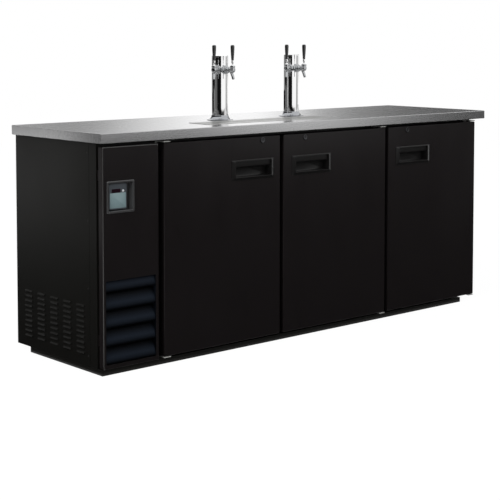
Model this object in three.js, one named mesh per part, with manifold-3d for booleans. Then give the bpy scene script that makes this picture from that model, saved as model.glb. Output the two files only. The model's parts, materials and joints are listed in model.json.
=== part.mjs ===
// Three-door direct-draw keg cooler with two column towers and four faucets.
// Millimetres. X runs along the front, -Y is the front and +Z is up.
// The origin is on the floor, under the middle of the worktop.

import * as THREE from "three";
import { mergeVertices } from "three/addons/utils/BufferGeometryUtils.js";
import Module from "manifold-3d";

const wasm = await Module();
wasm.setup();

// Driving sizes of the whole cabinet
const worktop = {
  width: 2286,
  depth: 640,
  height: 935,
  thickness: 39,
  edgeRadius: 2,
  endOverhang: 18,
  frontOverhang: 21,
  rearOverhang: 2,
};
const plinth = { height: 23, frontInset: 4, rearInset: 98, rightInset: 125, edgeRadius: 1.2 };
const fit = 0.3;
const overrun = 5;
const quarter = Math.PI / 2;
const facets = { rod: 12, small: 8 };

// The cold side: an insulated box, its lid panel and its liner
const cold = {
  wall: 50,
  floor: 50,
  lid: 50,
  frameDepth: 40,
  land: 46,
  liner: 1.5,
  lineBore: 29,
};

// The machine side, left of the cold box
const machine = {
  width: 275,
  frontSetback: 37,
  gauge: 2,
  postDepth: 48,
  postWidth: 40,
  innerPost: 20,
  rail: 40,
  railLip: 30,
  panelGauge: 1.5,
  panelSeam: 0.8,
};
const louvres = {
  columns: 5,
  rows: 10,
  length: 52,
  height: 11,
  rise: 5,
  rowPitch: 20.5,
  fromFront: 85,
  fromRear: 65,
  lowestRow: 49,
};
const rearVents = {
  columns: 2,
  rows: 6,
  length: 90,
  height: 9,
  columnPitch: 120,
  rowPitch: 24,
  lowestRow: 120,
};

// The front cover with its grille and its control window
const cover = {
  sideReveal: 4,
  rightReveal: 5,
  topReveal: 14,
  bottomGap: 0.5,
  depth: 29,
  gauge: 2,
  corner: 3,
  edgeRadius: 1.2,
  tabWidth: 8,
  tabHeight: 40,
  tabInset: 90,
};
const grille = {
  leftInset: 12,
  width: 240,
  bottomInset: 16.5,
  height: 325,
  blades: 5,
  headCover: 25,
  lowestLip: 1.5,
  bladeDepth: 25,
  gauge: 1.5,
  lip: 5,
  lipReturn: 4,
  backHook: 5,
  flange: 8,
  bladeSteps: 3,
};
const bladePitch = (grille.height + grille.headCover) / grille.blades;
const bladeShares = { rise: 0.93, belly: 0.62 };
const win = {
  leftInset: 18,
  bottomInset: 601,
  width: 130,
  height: 125,
  rim: 9,
  proud: 3,
  corner: 6,
  recess: 26,
  wall: 2,
  edgeRadius: 1,
};
const controller = {
  width: 84,
  height: 101,
  thickness: 14,
  corner: 6,
  edgeRadius: 1.5,
  centreShift: 3,
  display: { width: 42, height: 17, fromLeft: 12, fromTop: 21, depth: 1.5 },
  plate: { width: 76, height: 60, fromBottom: 5, depth: 0.8, corner: 3 },
};
const setButton = { radius: 4.5, proud: 1.2, length: 6.5, crown: 0.8, fromRight: 18, sides: 12 };

// The three doors and what each one carries
const door = {
  count: 3,
  middleExtra: 15,
  thickness: 50,
  leftReveal: 23,
  rightReveal: 30,
  gap: 19,
  topReveal: 14,
  bottomGap: 2,
  corner: 4,
  edgeRadius: 3,
  edgeSteps: 1,
  plugDepth: 6,
  plugInset: 52,
  plugCorner: 12,
  plugEase: 3,
};
const doorHands = [-1, 1, 1];
const gasket = { inset: 22, width: 16, thickness: 9.6, footHeight: 4, bulbInset: 2.5, seat: 0.4, corner: 6 };
const cup = {
  width: 236,
  height: 85,
  margin: 43,
  shift: 6,
  topDrop: 93,
  corner: 6,
  flange: 2,
  proud: 7,
  sideRim: 17,
  topRim: 4,
  bottomRim: 11,
  ridge: 2,
  hoodDrop: 9,
  hoodHeight: 25,
  hoodWall: 2,
  hoodLip: 9,
  depth: 32,
  wall: 1.6,
};
const lock = {
  inset: 114,
  shift: 13,
  drop: 17,
  barrelRadius: 9.5,
  barrelLength: 24,
  rimRadius: 12,
  rimProud: 3,
  rimEase: 1,
  keyWidth: 2,
  keyHeight: 9,
  keyDepth: 4,
  sides: 14,
};
const hinge = {
  axisInset: 20,
  axisDepth: 20,
  plate: 4,
  plateLength: 33,
  plateOver: 1,
  plateFront: 1,
  leg: 3,
  legWidth: 18,
  legHeight: 34,
  topGap: 3,
  pinRadius: 4.7,
  pinReach: 16,
  pinFit: 0.4,
  sides: 12,
};

// The drip tray let into the worktop
const pan = {
  leftInset: 623,
  frontInset: 112,
  width: 725,
  depth: 138,
  flange: 11,
  flangeThickness: 2,
  sink: 28,
  wall: 1.5,
  corner: 6,
  ledge: 5,
};
const spud = { radius: 10, bore: 7, length: 62, sides: 12 };
const grate = { thickness: 2, slots: 32, slotWidth: 9, edge: 12, drop: 0.5 };

// The towers and faucets
const tower = {
  places: [-288, 138],
  behindPan: 13,
  turn: THREE.MathUtils.degToRad(28.5),
  radius: 36,
  wall: 1.6,
  columnTop: 275,
  columnSeat: 6,
  topHeight: 283,
  capEase: 3,
  capPlug: 12,
  capSteps: 2,
  flangeRadius: 57,
  flangeEdge: 3.5,
  flangeHeight: 22,
  flangeBore: 29,
  coveSteps: 3,
  sides: 20,
};
const faucet = {
  spread: THREE.MathUtils.degToRad(56),
  height: 220,
  reach: 86,
  shankRadius: 11,
  shankStart: 28,
  nippleRadius: 4,
  nippleStart: 13,
  collarRadius: 19.5,
  collarFace: 40.5,
  collarEnd: 43.5,
  nutRadius: 15,
  nutEase: 1.2,
  nutEnd: 55,
  waistRadius: 9.5,
  barrelRadius: 12.5,
  bonnetRadius: 11.5,
  bonnetRise: 19,
  ballRadius: 7,
  ballDrop: 1,
  stemRadius: 3.4,
  ferruleStart: 14,
  ferruleRadius: 5.2,
  handleStart: 24,
  handleBase: 5.6,
  handleTop: 8.8,
  handleEnd: 90,
  handleEase: 4,
  spoutRadius: 7,
  spoutTipRadius: 6,
  spoutBore: 4.4,
  spoutBoreDepth: 10,
  spoutDrop: 40,
  spoutOut: 6,
  spoutIn: 14,
  ballSteps: 4,
  spoutSteps: 4,
};

// The refrigeration pieces
const compressor = {
  radius: 72,
  height: 168,
  weldRadius: 76,
  weldHeight: 5,
  fromRear: 175,
  footLength: 200,
  footWidth: 120,
  footPlate: 3,
  mountRadius: 12,
  mountHeight: 14,
  mountInset: 16,
  boxSize: 46,
  boxDepth: 26,
  pipeRadius: 5,
  pipeLength: 26,
  pipeOffset: 30,
  sides: 16,
};
const condenser = {
  width: 226,
  height: 300,
  thickness: 46,
  setback: 10,
  fins: 9,
  finDepth: 6,
  shroud: 2,
  fanOpening: 100,
  strutWidth: 16,
  strutThickness: 4,
  strutReach: 60,
  motorRadius: 32,
  motorLength: 42,
  shaftRadius: 4,
  shaftLength: 40,
  ringSides: 20,
};
const condenserFan = {
  radius: 94,
  hubRadius: 20,
  hubLength: 22,
  blades: 5,
  bladeWidth: 62,
  bladeThickness: 2,
  bladeSteps: 2,
};
const evaporator = {
  depth: 92,
  height: 330,
  fromFront: 110,
  fromRear: 57,
  fromLid: 40,
  gauge: 1.5,
  coil: 30,
  fanOpening: 92,
  fanRise: 195,
  motorRadius: 25,
  motorLength: 28,
  shaftRadius: 4,
  shaftLength: 26,
  ringSides: 20,
};
const evaporatorFan = {
  radius: 86,
  hubRadius: 18,
  hubLength: 18,
  blades: 5,
  bladeWidth: 56,
  bladeThickness: 2,
  bladeSteps: 2,
};
const bladeAngle = THREE.MathUtils.degToRad(26);

// Planes worked out from the driving sizes
const frontEdge = -worktop.depth / 2;
const rearEdge = worktop.depth / 2;
const underside = worktop.height - worktop.thickness;
const cabinetLeft = -worktop.width / 2 + worktop.endOverhang;
const cabinetRight = worktop.width / 2 - worktop.endOverhang;
const cabinetRear = rearEdge - worktop.rearOverhang;
const doorFace = frontEdge + worktop.frontOverhang;
const cabinetFront = doorFace + door.thickness + gasket.thickness + gasket.seat;
const coldLeft = cabinetLeft + machine.width;
const machineFront = doorFace + machine.frontSetback;
const doorRunLeft = coldLeft + door.leftReveal;
const doorRunRight = cabinetRight - door.rightReveal;
const doorRun = doorRunRight - doorRunLeft - (door.count - 1) * door.gap;
const endDoorWidth = (doorRun - door.middleExtra) / door.count;
const doorBottom = plinth.height + hinge.plate + door.bottomGap;
const doorTop = underside - door.topReveal;
const doorHeight = doorTop - doorBottom;
const cavity = {
  left: coldLeft + cold.wall,
  right: cabinetRight - cold.wall,
  front: cabinetFront + cold.frameDepth,
  rear: cabinetRear - cold.wall,
  bottom: plinth.height + cold.floor,
  top: underside - cold.lid,
};

// The doors in order from the left: the side of their hinges, their width and their left edge
const leaves = [];
for (const hand of doorHands) {
  const isMiddle = leaves.length > 0 && leaves.length < door.count - 1;
  const before = leaves.at(-1);
  leaves.push({
    hand,
    width: endDoorWidth + (isMiddle ? door.middleExtra : 0),
    left: before ? before.left + before.width + door.gap : doorRunLeft,
  });
}
const panLeft = -worktop.width / 2 + pan.leftInset;
const panFront = frontEdge + pan.frontInset;
const panMiddle = { x: panLeft + pan.width / 2, y: panFront + pan.depth / 2 };
const towerY = panFront + pan.depth + tower.behindPan + tower.flangeRadius;

// Shapes given as shares of the sizes that they follow
const hubFaceShare = 0.8;
const bladeRootShare = 0.9;
const bladeHalfShare = 0.22;
const leadingEdgeShares = [[0.62, -0.5], [0.94, -0.34]];
const trailingEdgeShares = [[1, 0.08], [0.7, 0.46]];
const shellBelowShares = [[0, 0], [0.8, 0], [0.97, 0.12]];
const shellAboveShares = [[0.98, 0.72], [0.82, 0.9], [0.45, 0.985], [0, 1]];
const weldShare = 0.45;
const boxFootShare = 0.9;
const barrelNoseShare = 0.8;
const mitreShare = 0.5;

// Finishes
const finishes = {
  black: { color: 0x17181a, roughness: 0.42, metalness: 0.2 },
  darkSheet: { color: 0x22252a, roughness: 0.5, metalness: 0.5 },
  stainless: { color: 0xb9bbbd, roughness: 0.32, metalness: 0.95 },
  chrome: { color: 0xd6d8da, roughness: 0.08, metalness: 1 },
  galvanised: { color: 0x9aa0a3, roughness: 0.55, metalness: 0.8 },
  rubber: { color: 0x1b1b1c, roughness: 0.85, metalness: 0 },
  handle: { color: 0x0c0c0d, roughness: 0.3, metalness: 0 },
  plastic: { color: 0xb7c3cf, roughness: 0.45, metalness: 0 },
  button: { color: 0xe4e6e8, roughness: 0.35, metalness: 0 },
  aluminium: { color: 0xc2c5c7, roughness: 0.4, metalness: 0.9 },
  compressor: { color: 0x101112, roughness: 0.35, metalness: 0.3 },
  liner: { color: 0xa8acae, roughness: 0.4, metalness: 0.85 },
};

// Booleans on closed three.js geometries

function solidOf(geometry) {
  const bare = geometry.clone();
  bare.deleteAttribute("normal");
  bare.deleteAttribute("uv");
  const merged = mergeVertices(bare);
  const corners = merged.index.array;
  const kept = [];
  for (let i = 0; i < corners.length; i += 3) {
    const [a, b, c] = corners.slice(i, i + 3);
    if (a !== b && b !== c && c !== a) kept.push(a, b, c);
  }
  return new wasm.Manifold(new wasm.Mesh({
    numProp: 3,
    vertProperties: Float32Array.from(merged.attributes.position.array),
    triVerts: Uint32Array.from(kept),
  }));
}

function geometryOf(solid) {
  const mesh = solid.getMesh();
  const geometry = new THREE.BufferGeometry();
  geometry.setAttribute("position", new THREE.BufferAttribute(Float32Array.from(mesh.vertProperties), 3));
  geometry.setIndex(new THREE.BufferAttribute(Uint32Array.from(mesh.triVerts), 1));
  geometry.computeVertexNormals();
  return geometry;
}

function join(...geometries) {
  return geometryOf(geometries.flat().map(solidOf).reduce((whole, piece) => whole.add(piece)));
}

function cut(geometry, ...tools) {
  const cutters = tools.flat().map(solidOf);
  return geometryOf(cutters.reduce((whole, tool) => whole.subtract(tool), solidOf(geometry)));
}

// Shapes and basic solids

// A rectangle about its own middle, with round corners where a radius is given
function rectangle(width, height, radius = 0) {
  const shape = new THREE.Shape();
  const x = width / 2;
  const y = height / 2;
  if (radius === 0) {
    shape.setFromPoints([[-x, -y], [x, -y], [x, y], [-x, y]].map((p) => new THREE.Vector2(...p)));
    return shape;
  }
  shape.absarc(x - radius, y - radius, radius, 0, quarter);
  shape.absarc(radius - x, y - radius, radius, quarter, 2 * quarter);
  shape.absarc(radius - x, radius - y, radius, 2 * quarter, 3 * quarter);
  shape.absarc(x - radius, radius - y, radius, 3 * quarter, 4 * quarter);
  return shape;
}

// An outline pushed up by a thickness from z = 0
function plate(shape, thickness, curveSegments = 1) {
  return new THREE.ExtrudeGeometry(shape, { depth: thickness, bevelEnabled: false, curveSegments });
}

// A rounded rectangular plate whose edges are eased on both faces
function easedPlate(width, height, thickness, corner, ease, segments = 1) {
  const shape = rectangle(width - 2 * ease, height - 2 * ease, Math.max(corner - ease, fit));
  return new THREE.ExtrudeGeometry(shape, {
    depth: thickness - 2 * ease,
    bevelEnabled: true,
    bevelThickness: ease,
    bevelSize: ease,
    bevelSegments: segments,
    curveSegments: 1,
  }).translate(0, 0, ease);
}

// A solid skin over rings of points that match one to one, closed flat at both ends
function loft(rings) {
  const count = rings[0].length;
  const positions = rings.flat().flatMap((point) => [point.x, point.y, point.z]);
  const index = [];
  for (let ring = 0; ring < rings.length - 1; ring += 1) {
    for (let i = 0; i < count; i += 1) {
      const a = ring * count + i;
      const b = ring * count + ((i + 1) % count);
      index.push(a, b, b + count, a, b + count, a + count);
    }
  }
  const last = (rings.length - 1) * count;
  for (let i = 1; i < count - 1; i += 1) {
    index.push(0, i + 1, i);
    index.push(last, last + i, last + i + 1);
  }
  const geometry = new THREE.BufferGeometry();
  geometry.setAttribute("position", new THREE.Float32BufferAttribute(positions, 3));
  geometry.setIndex(index);
  return geometry;
}

// A straight box between two opposite corners. Its corners are exact, so boxes that share a plane meet in it.
function block(low, high) {
  const around = [[low[0], low[1]], [high[0], low[1]], [high[0], high[1]], [low[0], high[1]]];
  return loft([low[2], high[2]].map((z) => around.map(([x, y]) => new THREE.Vector3(x, y, z))));
}

// The corners of a rounded rectangle as a ring at a height above the z = 0 plane
function rectangleRing(width, height, radius, z, shiftY = 0) {
  return rectangle(width, height, radius).getPoints(1).map((p) => new THREE.Vector3(p.x, p.y + shiftY, z));
}

// A profile of [radius, height] points turned about Z
function turned(points, sides) {
  const profile = points.map(([radius, height]) => new THREE.Vector2(radius, height));
  return new THREE.LatheGeometry(profile, sides).rotateX(quarter);
}

// A plain rod along Z
function rod(radius, from, to, sides) {
  return turned([[0, from], [radius, from], [radius, to], [0, to]], sides);
}

// The radius at which a cutter with flat sides goes right round a rod of this radius, however it is turned
function roundFaceted(radius, sides) {
  return radius / Math.cos(Math.PI / sides);
}

// Turns a piece modelled along +Z so that it points out of the front, with its own +Y up
function forward(geometry) {
  return geometry.rotateX(quarter);
}

// Turns a piece modelled along +Z so that it points along +X, with its own +Y up
function sideways(geometry) {
  return geometry.rotateX(quarter).rotateZ(quarter);
}

// Points of an arc in a profile, from one angle to another
function arc(centre, radius, start, end, steps) {
  const points = [];
  for (let i = 0; i <= steps; i += 1) {
    const angle = start + ((end - start) * i) / steps;
    points.push([centre[0] + radius * Math.cos(angle), centre[1] + radius * Math.sin(angle)]);
  }
  return points;
}

// The outline of a folded sheet: a path thickened to one side
function foldedSheet(path, gauge) {
  const points = path.map((p) => new THREE.Vector2(...p));
  const offset = points.map((point, i) => {
    const before = points[Math.max(i - 1, 0)];
    const after = points[Math.min(i + 1, points.length - 1)];
    const inward = i > 0 ? point.clone().sub(before).normalize() : after.clone().sub(point).normalize();
    const outward = i < points.length - 1 ? after.clone().sub(point).normalize() : inward.clone();
    const normal = new THREE.Vector2(-inward.y - outward.y, inward.x + outward.x).normalize();
    const spread = Math.max(normal.dot(new THREE.Vector2(-inward.y, inward.x)), mitreShare);
    return point.clone().addScaledVector(normal, gauge / spread);
  });
  return new THREE.Shape([...points, ...offset.reverse()]);
}

// The tree of named meshes
const kegCooler = new THREE.Group();
kegCooler.name = "keg_cooler";

function addPiece(parent, name, geometry, finish) {
  const mesh = new THREE.Mesh(geometryOf(solidOf(geometry)), new THREE.MeshStandardMaterial(finish));
  mesh.name = name;
  parent.add(mesh);
  return mesh;
}

function addGroup(parent, x, y, z, turn = 0) {
  const group = new THREE.Group();
  group.position.set(x, y, z);
  group.rotation.z = turn;
  parent.add(group);
  return group;
}

// Plinth, insulated box, lid panel and liner

function buildPlinth() {
  const left = cabinetLeft;
  const right = cabinetRight - plinth.rightInset;
  const front = doorFace + plinth.frontInset;
  const rear = cabinetRear - plinth.rearInset;
  return easedPlate(right - left, rear - front, plinth.height, plinth.edgeRadius, plinth.edgeRadius)
    .translate((left + right) / 2, (front + rear) / 2, 0);
}

function buildColdBox() {
  const outer = block([coldLeft, cabinetFront, plinth.height], [cabinetRight, cabinetRear, underside]);
  const hollow = block(
    [cavity.left, cavity.front, cavity.bottom],
    [cavity.right, cavity.rear, underside + overrun],
  );
  const doorways = leaves.map((leaf) => block(
    [leaf.left + cold.land, cabinetFront - overrun, doorBottom + cold.land],
    [leaf.left + leaf.width - cold.land, cavity.front + overrun, doorTop - cold.land],
  ));
  return cut(outer, hollow, doorways);
}

function lineBores(from, to) {
  const bore = (x) => rod(cold.lineBore, from - overrun, to + overrun, facets.rod).translate(x, towerY, 0);
  return tower.places.map(bore);
}

function drainBore(from, to) {
  return rod(spud.radius + fit, from - overrun, to + overrun, spud.sides)
    .translate(panMiddle.x, panMiddle.y, 0);
}

function buildLidPanel() {
  const slab = block([cavity.left, cavity.front, cavity.top], [cavity.right, cavity.rear, underside]);
  return cut(slab, lineBores(cavity.top, underside), drainBore(cavity.top, underside));
}

function buildLiner() {
  const outer = block([cavity.left, cavity.front, cavity.bottom], [cavity.right, cavity.rear, cavity.top]);
  const inner = block(
    [cavity.left + cold.liner, cavity.front - overrun, cavity.bottom + cold.liner],
    [cavity.right - cold.liner, cavity.rear - cold.liner, cavity.top - cold.liner],
  );
  return cut(outer, inner, lineBores(cavity.top, cavity.top), drainBore(cavity.top, cavity.top));
}

function buildWorktop() {
  const { width, depth, thickness, edgeRadius } = worktop;
  const slab = easedPlate(width, depth, thickness, edgeRadius, edgeRadius).translate(0, 0, underside);
  const reach = pan.flange - fit;
  const trayHole = block(
    [panLeft + reach, panFront + reach, underside - overrun],
    [panLeft + pan.width - reach, panFront + pan.depth - reach, worktop.height + overrun],
  );
  return cut(slab, trayHole, lineBores(underside, worktop.height));
}

// Machine side: chassis, louvred panels

function buildMachineFrame() {
  const g = machine.gauge;
  const left = cabinetLeft;
  const innerLeft = cabinetLeft + Math.max(g, machine.panelGauge + fit);
  const right = coldLeft - fit;
  const rear = cabinetRear - machine.panelGauge - fit;
  const front = machineFront;
  const bottom = plinth.height;
  const top = underside;
  return join(
    block([innerLeft, front, bottom], [right, rear, bottom + g]),
    block([left, front, bottom], [left + g, front + machine.postDepth, top]),
    block([left, front, bottom], [left + machine.postWidth, front + g, top]),
    block([right - machine.innerPost, front, bottom], [right, front + g, top]),
    block([right - g, front, bottom], [right, front + machine.rail, top]),
    block([innerLeft, rear - machine.innerPost, bottom], [innerLeft + g, rear, top]),
    block([innerLeft, rear - g, bottom], [innerLeft + machine.innerPost, rear, top]),
    block([right - g, rear - machine.innerPost, bottom], [right, rear, top]),
    block([right - machine.innerPost, rear - g, bottom], [right, rear, top]),
    block([left, front, top - machine.rail], [right, front + g, top]),
    block([left, front, top - g], [right, front + machine.railLip, top]),
    block([innerLeft, rear - g, top - machine.rail], [right, rear, top]),
    block([innerLeft, rear - machine.railLip, top - g], [right, rear, top]),
  );
}

function buildSidePanel() {
  const g = machine.panelGauge;
  const front = machineFront + machine.postDepth + machine.panelSeam;
  const sheet = block([cabinetLeft, front, plinth.height], [cabinetLeft + g, cabinetRear, underside]);
  const half = louvres.height / 2;
  const shape = (points) => new THREE.Shape(points.map((p) => new THREE.Vector2(...p)));
  const hood = shape([[-g / 2, -half], [louvres.rise, -half], [0, half], [-g / 2, half]]);
  const throat = shape([
    [-g - overrun, -half],
    [0, -half],
    [0, -half - overrun],
    [louvres.rise - g, -half - overrun],
    [louvres.rise - g, -half],
    [0, half - g],
    [-g - overrun, half - g],
  ]);
  const outward = (section, length) => forward(plate(section, length))
    .rotateZ(2 * quarter)
    .translate(0, -length / 2, 0);
  const run = cabinetRear - machineFront - louvres.fromFront - louvres.fromRear - louvres.length;
  const columnPitch = run / (louvres.columns - 1);
  const hoods = [];
  const throats = [];
  for (let column = 0; column < louvres.columns; column += 1) {
    for (let row = 0; row < louvres.rows; row += 1) {
      const y = machineFront + louvres.fromFront + louvres.length / 2 + column * columnPitch;
      const z = plinth.height + louvres.lowestRow + row * louvres.rowPitch;
      hoods.push(outward(hood, louvres.length).translate(cabinetLeft, y, z));
      throats.push(outward(throat, louvres.length - 2 * g).translate(cabinetLeft, y, z));
    }
  }
  return cut(join(sheet, hoods), throats);
}

function buildRearPanel() {
  const left = cabinetLeft + machine.panelGauge + fit;
  const right = coldLeft - fit;
  const front = cabinetRear - machine.panelGauge;
  const sheet = block([left, front, plinth.height + fit], [right, cabinetRear, underside - fit]);
  const vents = [];
  for (let column = 0; column < rearVents.columns; column += 1) {
    for (let row = 0; row < rearVents.rows; row += 1) {
      const x = (left + right) / 2 + (column - (rearVents.columns - 1) / 2) * rearVents.columnPitch;
      const z = plinth.height + rearVents.lowestRow + row * rearVents.rowPitch;
      vents.push(block(
        [x - rearVents.length / 2, front - overrun, z],
        [x + rearVents.length / 2, cabinetRear + overrun, z + rearVents.height],
      ));
    }
  }
  return cut(sheet, vents);
}

// Front cover, louvre grille and control window

const coverLeft = cabinetLeft + cover.sideReveal;
const coverRight = coldLeft - cover.rightReveal;
const coverBottom = plinth.height + cover.bottomGap;
const coverTop = underside - cover.topReveal;
const grilleLeft = coverLeft + grille.leftInset;
const grilleBottom = coverBottom + grille.bottomInset;
const winLeft = coverLeft + win.leftInset;
const winBottom = coverBottom + win.bottomInset;
const winMiddle = { x: winLeft + win.width / 2, z: winBottom + win.height / 2 };

function buildFrontCover() {
  const width = coverRight - coverLeft;
  const height = coverTop - coverBottom;
  const g = cover.gauge;
  const back = doorFace + cover.depth;
  const shell = forward(easedPlate(width, height, cover.depth, cover.corner, cover.edgeRadius))
    .translate((coverLeft + coverRight) / 2, back, (coverBottom + coverTop) / 2);
  const hollow = block(
    [coverLeft + g, doorFace + g, coverBottom + g],
    [coverRight - g, back + overrun, coverTop - g],
  );
  const grilleHole = block(
    [grilleLeft, doorFace - overrun, grilleBottom],
    [grilleLeft + grille.width, doorFace + g + overrun, grilleBottom + grille.height],
  );
  const inset = win.rim - win.wall - fit;
  const windowHole = block(
    [winLeft + inset, doorFace - overrun, winBottom + inset],
    [winLeft + win.width - inset, doorFace + g + overrun, winBottom + win.height - inset],
  );
  const tabs = [];
  for (const z of [coverBottom + cover.tabInset, coverTop - cover.tabInset - cover.tabHeight]) {
    for (const x of [coverLeft + g / 2, coverRight - g / 2 - cover.tabWidth]) {
      tabs.push(block(
        [x, back - cover.tabWidth, z],
        [x + cover.tabWidth, machineFront - fit, z + cover.tabHeight],
      ));
    }
  }
  return join(cut(shell, hollow, grilleHole, windowHole), tabs);
}

// One louvre blade in its own section: it hangs from its top hook at the back and bells out to a
// rolled lip at the front. Points are [distance behind the grille's face, height above the lip].
function bladeSection() {
  const rise = bladePitch * bladeShares.rise;
  const belly = new THREE.QuadraticBezierCurve(
    new THREE.Vector2(0, 0),
    new THREE.Vector2(grille.bladeDepth * (1 - bladeShares.belly), rise * bladeShares.belly),
    new THREE.Vector2(grille.bladeDepth, rise),
  );
  const sweep = belly.getPoints(grille.bladeSteps).map((p) => [p.x, p.y]);
  const lip = [[grille.lipReturn, -grille.lip], [0, -grille.lip]];
  const hook = [[grille.bladeDepth, rise + grille.backHook]];
  return foldedSheet([...lip, ...sweep, ...hook].reverse(), grille.gauge);
}

function buildLouvreGrille() {
  const face = doorFace + cover.gauge + fit;
  const top = grilleBottom + grille.height;
  const right = grilleLeft + grille.width;
  const back = face + grille.bladeDepth + grille.gauge + grille.gauge;
  const g = grille.gauge;
  const flange = block([grilleLeft - grille.flange, face, grilleBottom - grille.flange],
    [right + grille.flange, face + g, top + grille.flange]);
  const tunnel = block([grilleLeft - g, face + g / 2, grilleBottom - g], [right + g, back, top + g]);
  const opening = block([grilleLeft, face - overrun, grilleBottom], [right, back + overrun, top]);
  const section = bladeSection();
  const aboveHead = block([grilleLeft - overrun, face - overrun, top + grille.gauge / 2],
    [right + overrun, back + overrun, top + bladePitch]);
  const blades = [];
  for (let i = 0; i < grille.blades; i += 1) {
    const blade = sideways(plate(section, grille.width + grille.gauge)).translate(
      grilleLeft - grille.gauge / 2,
      face + grille.gauge / 2,
      grilleBottom + grille.lowestLip + grille.lip + i * bladePitch,
    );
    blades.push(cut(blade, aboveHead));
  }
  return join(cut(join(flange, tunnel), opening), blades);
}

function buildWindowFrame() {
  const face = doorFace - win.proud;
  const back = doorFace + win.recess + win.wall;
  const inner = { width: win.width - 2 * win.rim, height: win.height - 2 * win.rim };
  const rim = forward(easedPlate(win.width, win.height, win.proud, win.corner, win.edgeRadius))
    .translate(winMiddle.x, doorFace, winMiddle.z);
  const tubShape = rectangle(inner.width + 2 * win.wall, inner.height + 2 * win.wall);
  const tub = forward(plate(tubShape, back - face - win.proud / 2)).translate(winMiddle.x, back, winMiddle.z);
  const hollow = forward(plate(rectangle(inner.width, inner.height), back - win.wall - face + overrun))
    .translate(winMiddle.x, back - win.wall, winMiddle.z);
  return cut(join(rim, tub), hollow);
}

// The controller stands on the back wall of the window's recess
const controllerBack = doorFace + win.recess - fit;
const controllerFace = controllerBack - controller.thickness;
const controllerMiddle = { x: winMiddle.x - controller.centreShift, z: winMiddle.z };
const controllerTop = controllerMiddle.z + controller.height / 2;
const displayMiddleZ = controllerTop - controller.display.fromTop - controller.display.height / 2;
const buttonPlace = { x: controllerMiddle.x + controller.width / 2 - setButton.fromRight, z: displayMiddleZ };

function buildController() {
  const { display, plate: panel } = controller;
  const { width, height, thickness, corner, edgeRadius } = controller;
  const body = forward(easedPlate(width, height, thickness, corner, edgeRadius))
    .translate(controllerMiddle.x, controllerBack, controllerMiddle.z);
  const displayShape = rectangle(display.width, display.height);
  const displayPocket = forward(plate(displayShape, display.depth + overrun)).translate(
    controllerMiddle.x - controller.width / 2 + display.fromLeft + display.width / 2,
    controllerFace + display.depth,
    displayMiddleZ,
  );
  const panelShape = rectangle(panel.width, panel.height, panel.corner);
  const panelPocket = forward(plate(panelShape, panel.depth + overrun)).translate(
    controllerMiddle.x,
    controllerFace + panel.depth,
    controllerMiddle.z - controller.height / 2 + panel.fromBottom + panel.height / 2,
  );
  const boreDepth = setButton.length + setButton.crown;
  const buttonBore = forward(rod(setButton.radius + fit, 0, boreDepth + overrun, setButton.sides))
    .translate(buttonPlace.x, controllerFace + boreDepth, buttonPlace.z);
  return cut(body, displayPocket, panelPocket, buttonBore);
}

function buildSetButton() {
  const crown = setButton.length - setButton.proud;
  const profile = [
    [0, 0],
    [setButton.radius, 0],
    [setButton.radius, crown + setButton.proud - setButton.crown],
    [setButton.radius - setButton.crown, crown + setButton.proud],
    [0, crown + setButton.proud],
  ];
  return forward(turned(profile, setButton.sides))
    .translate(buttonPlace.x, controllerFace + setButton.length - setButton.proud, buttonPlace.z);
}

// Refrigeration pieces

// A fan about +Z with its hub's back face at z = 0
function fanGeometry(fan, shaftRadius) {
  const hub = turned([
    [shaftRadius + fit, 0],
    [fan.hubRadius, 0],
    [fan.hubRadius, fan.hubLength * hubFaceShare],
    [fan.hubRadius * hubFaceShare, fan.hubLength],
    [shaftRadius + fit, fan.hubLength],
    [shaftRadius + fit, 0],
  ], facets.rod);
  const root = fan.hubRadius * bladeRootShare;
  const scaled = ([along, across]) => [fan.radius * along, fan.bladeWidth * across];
  const outline = new THREE.Shape();
  outline.moveTo(root, -fan.bladeWidth * bladeHalfShare);
  outline.quadraticCurveTo(...scaled(leadingEdgeShares[0]), ...scaled(leadingEdgeShares[1]));
  outline.lineTo(...scaled(trailingEdgeShares[0]));
  outline.quadraticCurveTo(...scaled(trailingEdgeShares[1]), root, fan.bladeWidth * bladeHalfShare);
  const blades = [];
  for (let i = 0; i < fan.blades; i += 1) {
    blades.push(plate(outline, fan.bladeThickness, fan.bladeSteps)
      .translate(0, 0, -fan.bladeThickness / 2)
      .rotateX(bladeAngle)
      .translate(0, 0, fan.hubLength / 2)
      .rotateZ((2 * Math.PI * i) / fan.blades));
  }
  return join(hub, blades);
}

const condenserFront = machineFront + machine.gauge + condenser.setback;
const condenserBack = condenserFront + condenser.thickness;
const machineMiddle = (cabinetLeft + coldLeft) / 2;
const trayTop = plinth.height + machine.gauge;
const condenserAxis = { x: machineMiddle, z: trayTop + condenser.height / 2 };

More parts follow.
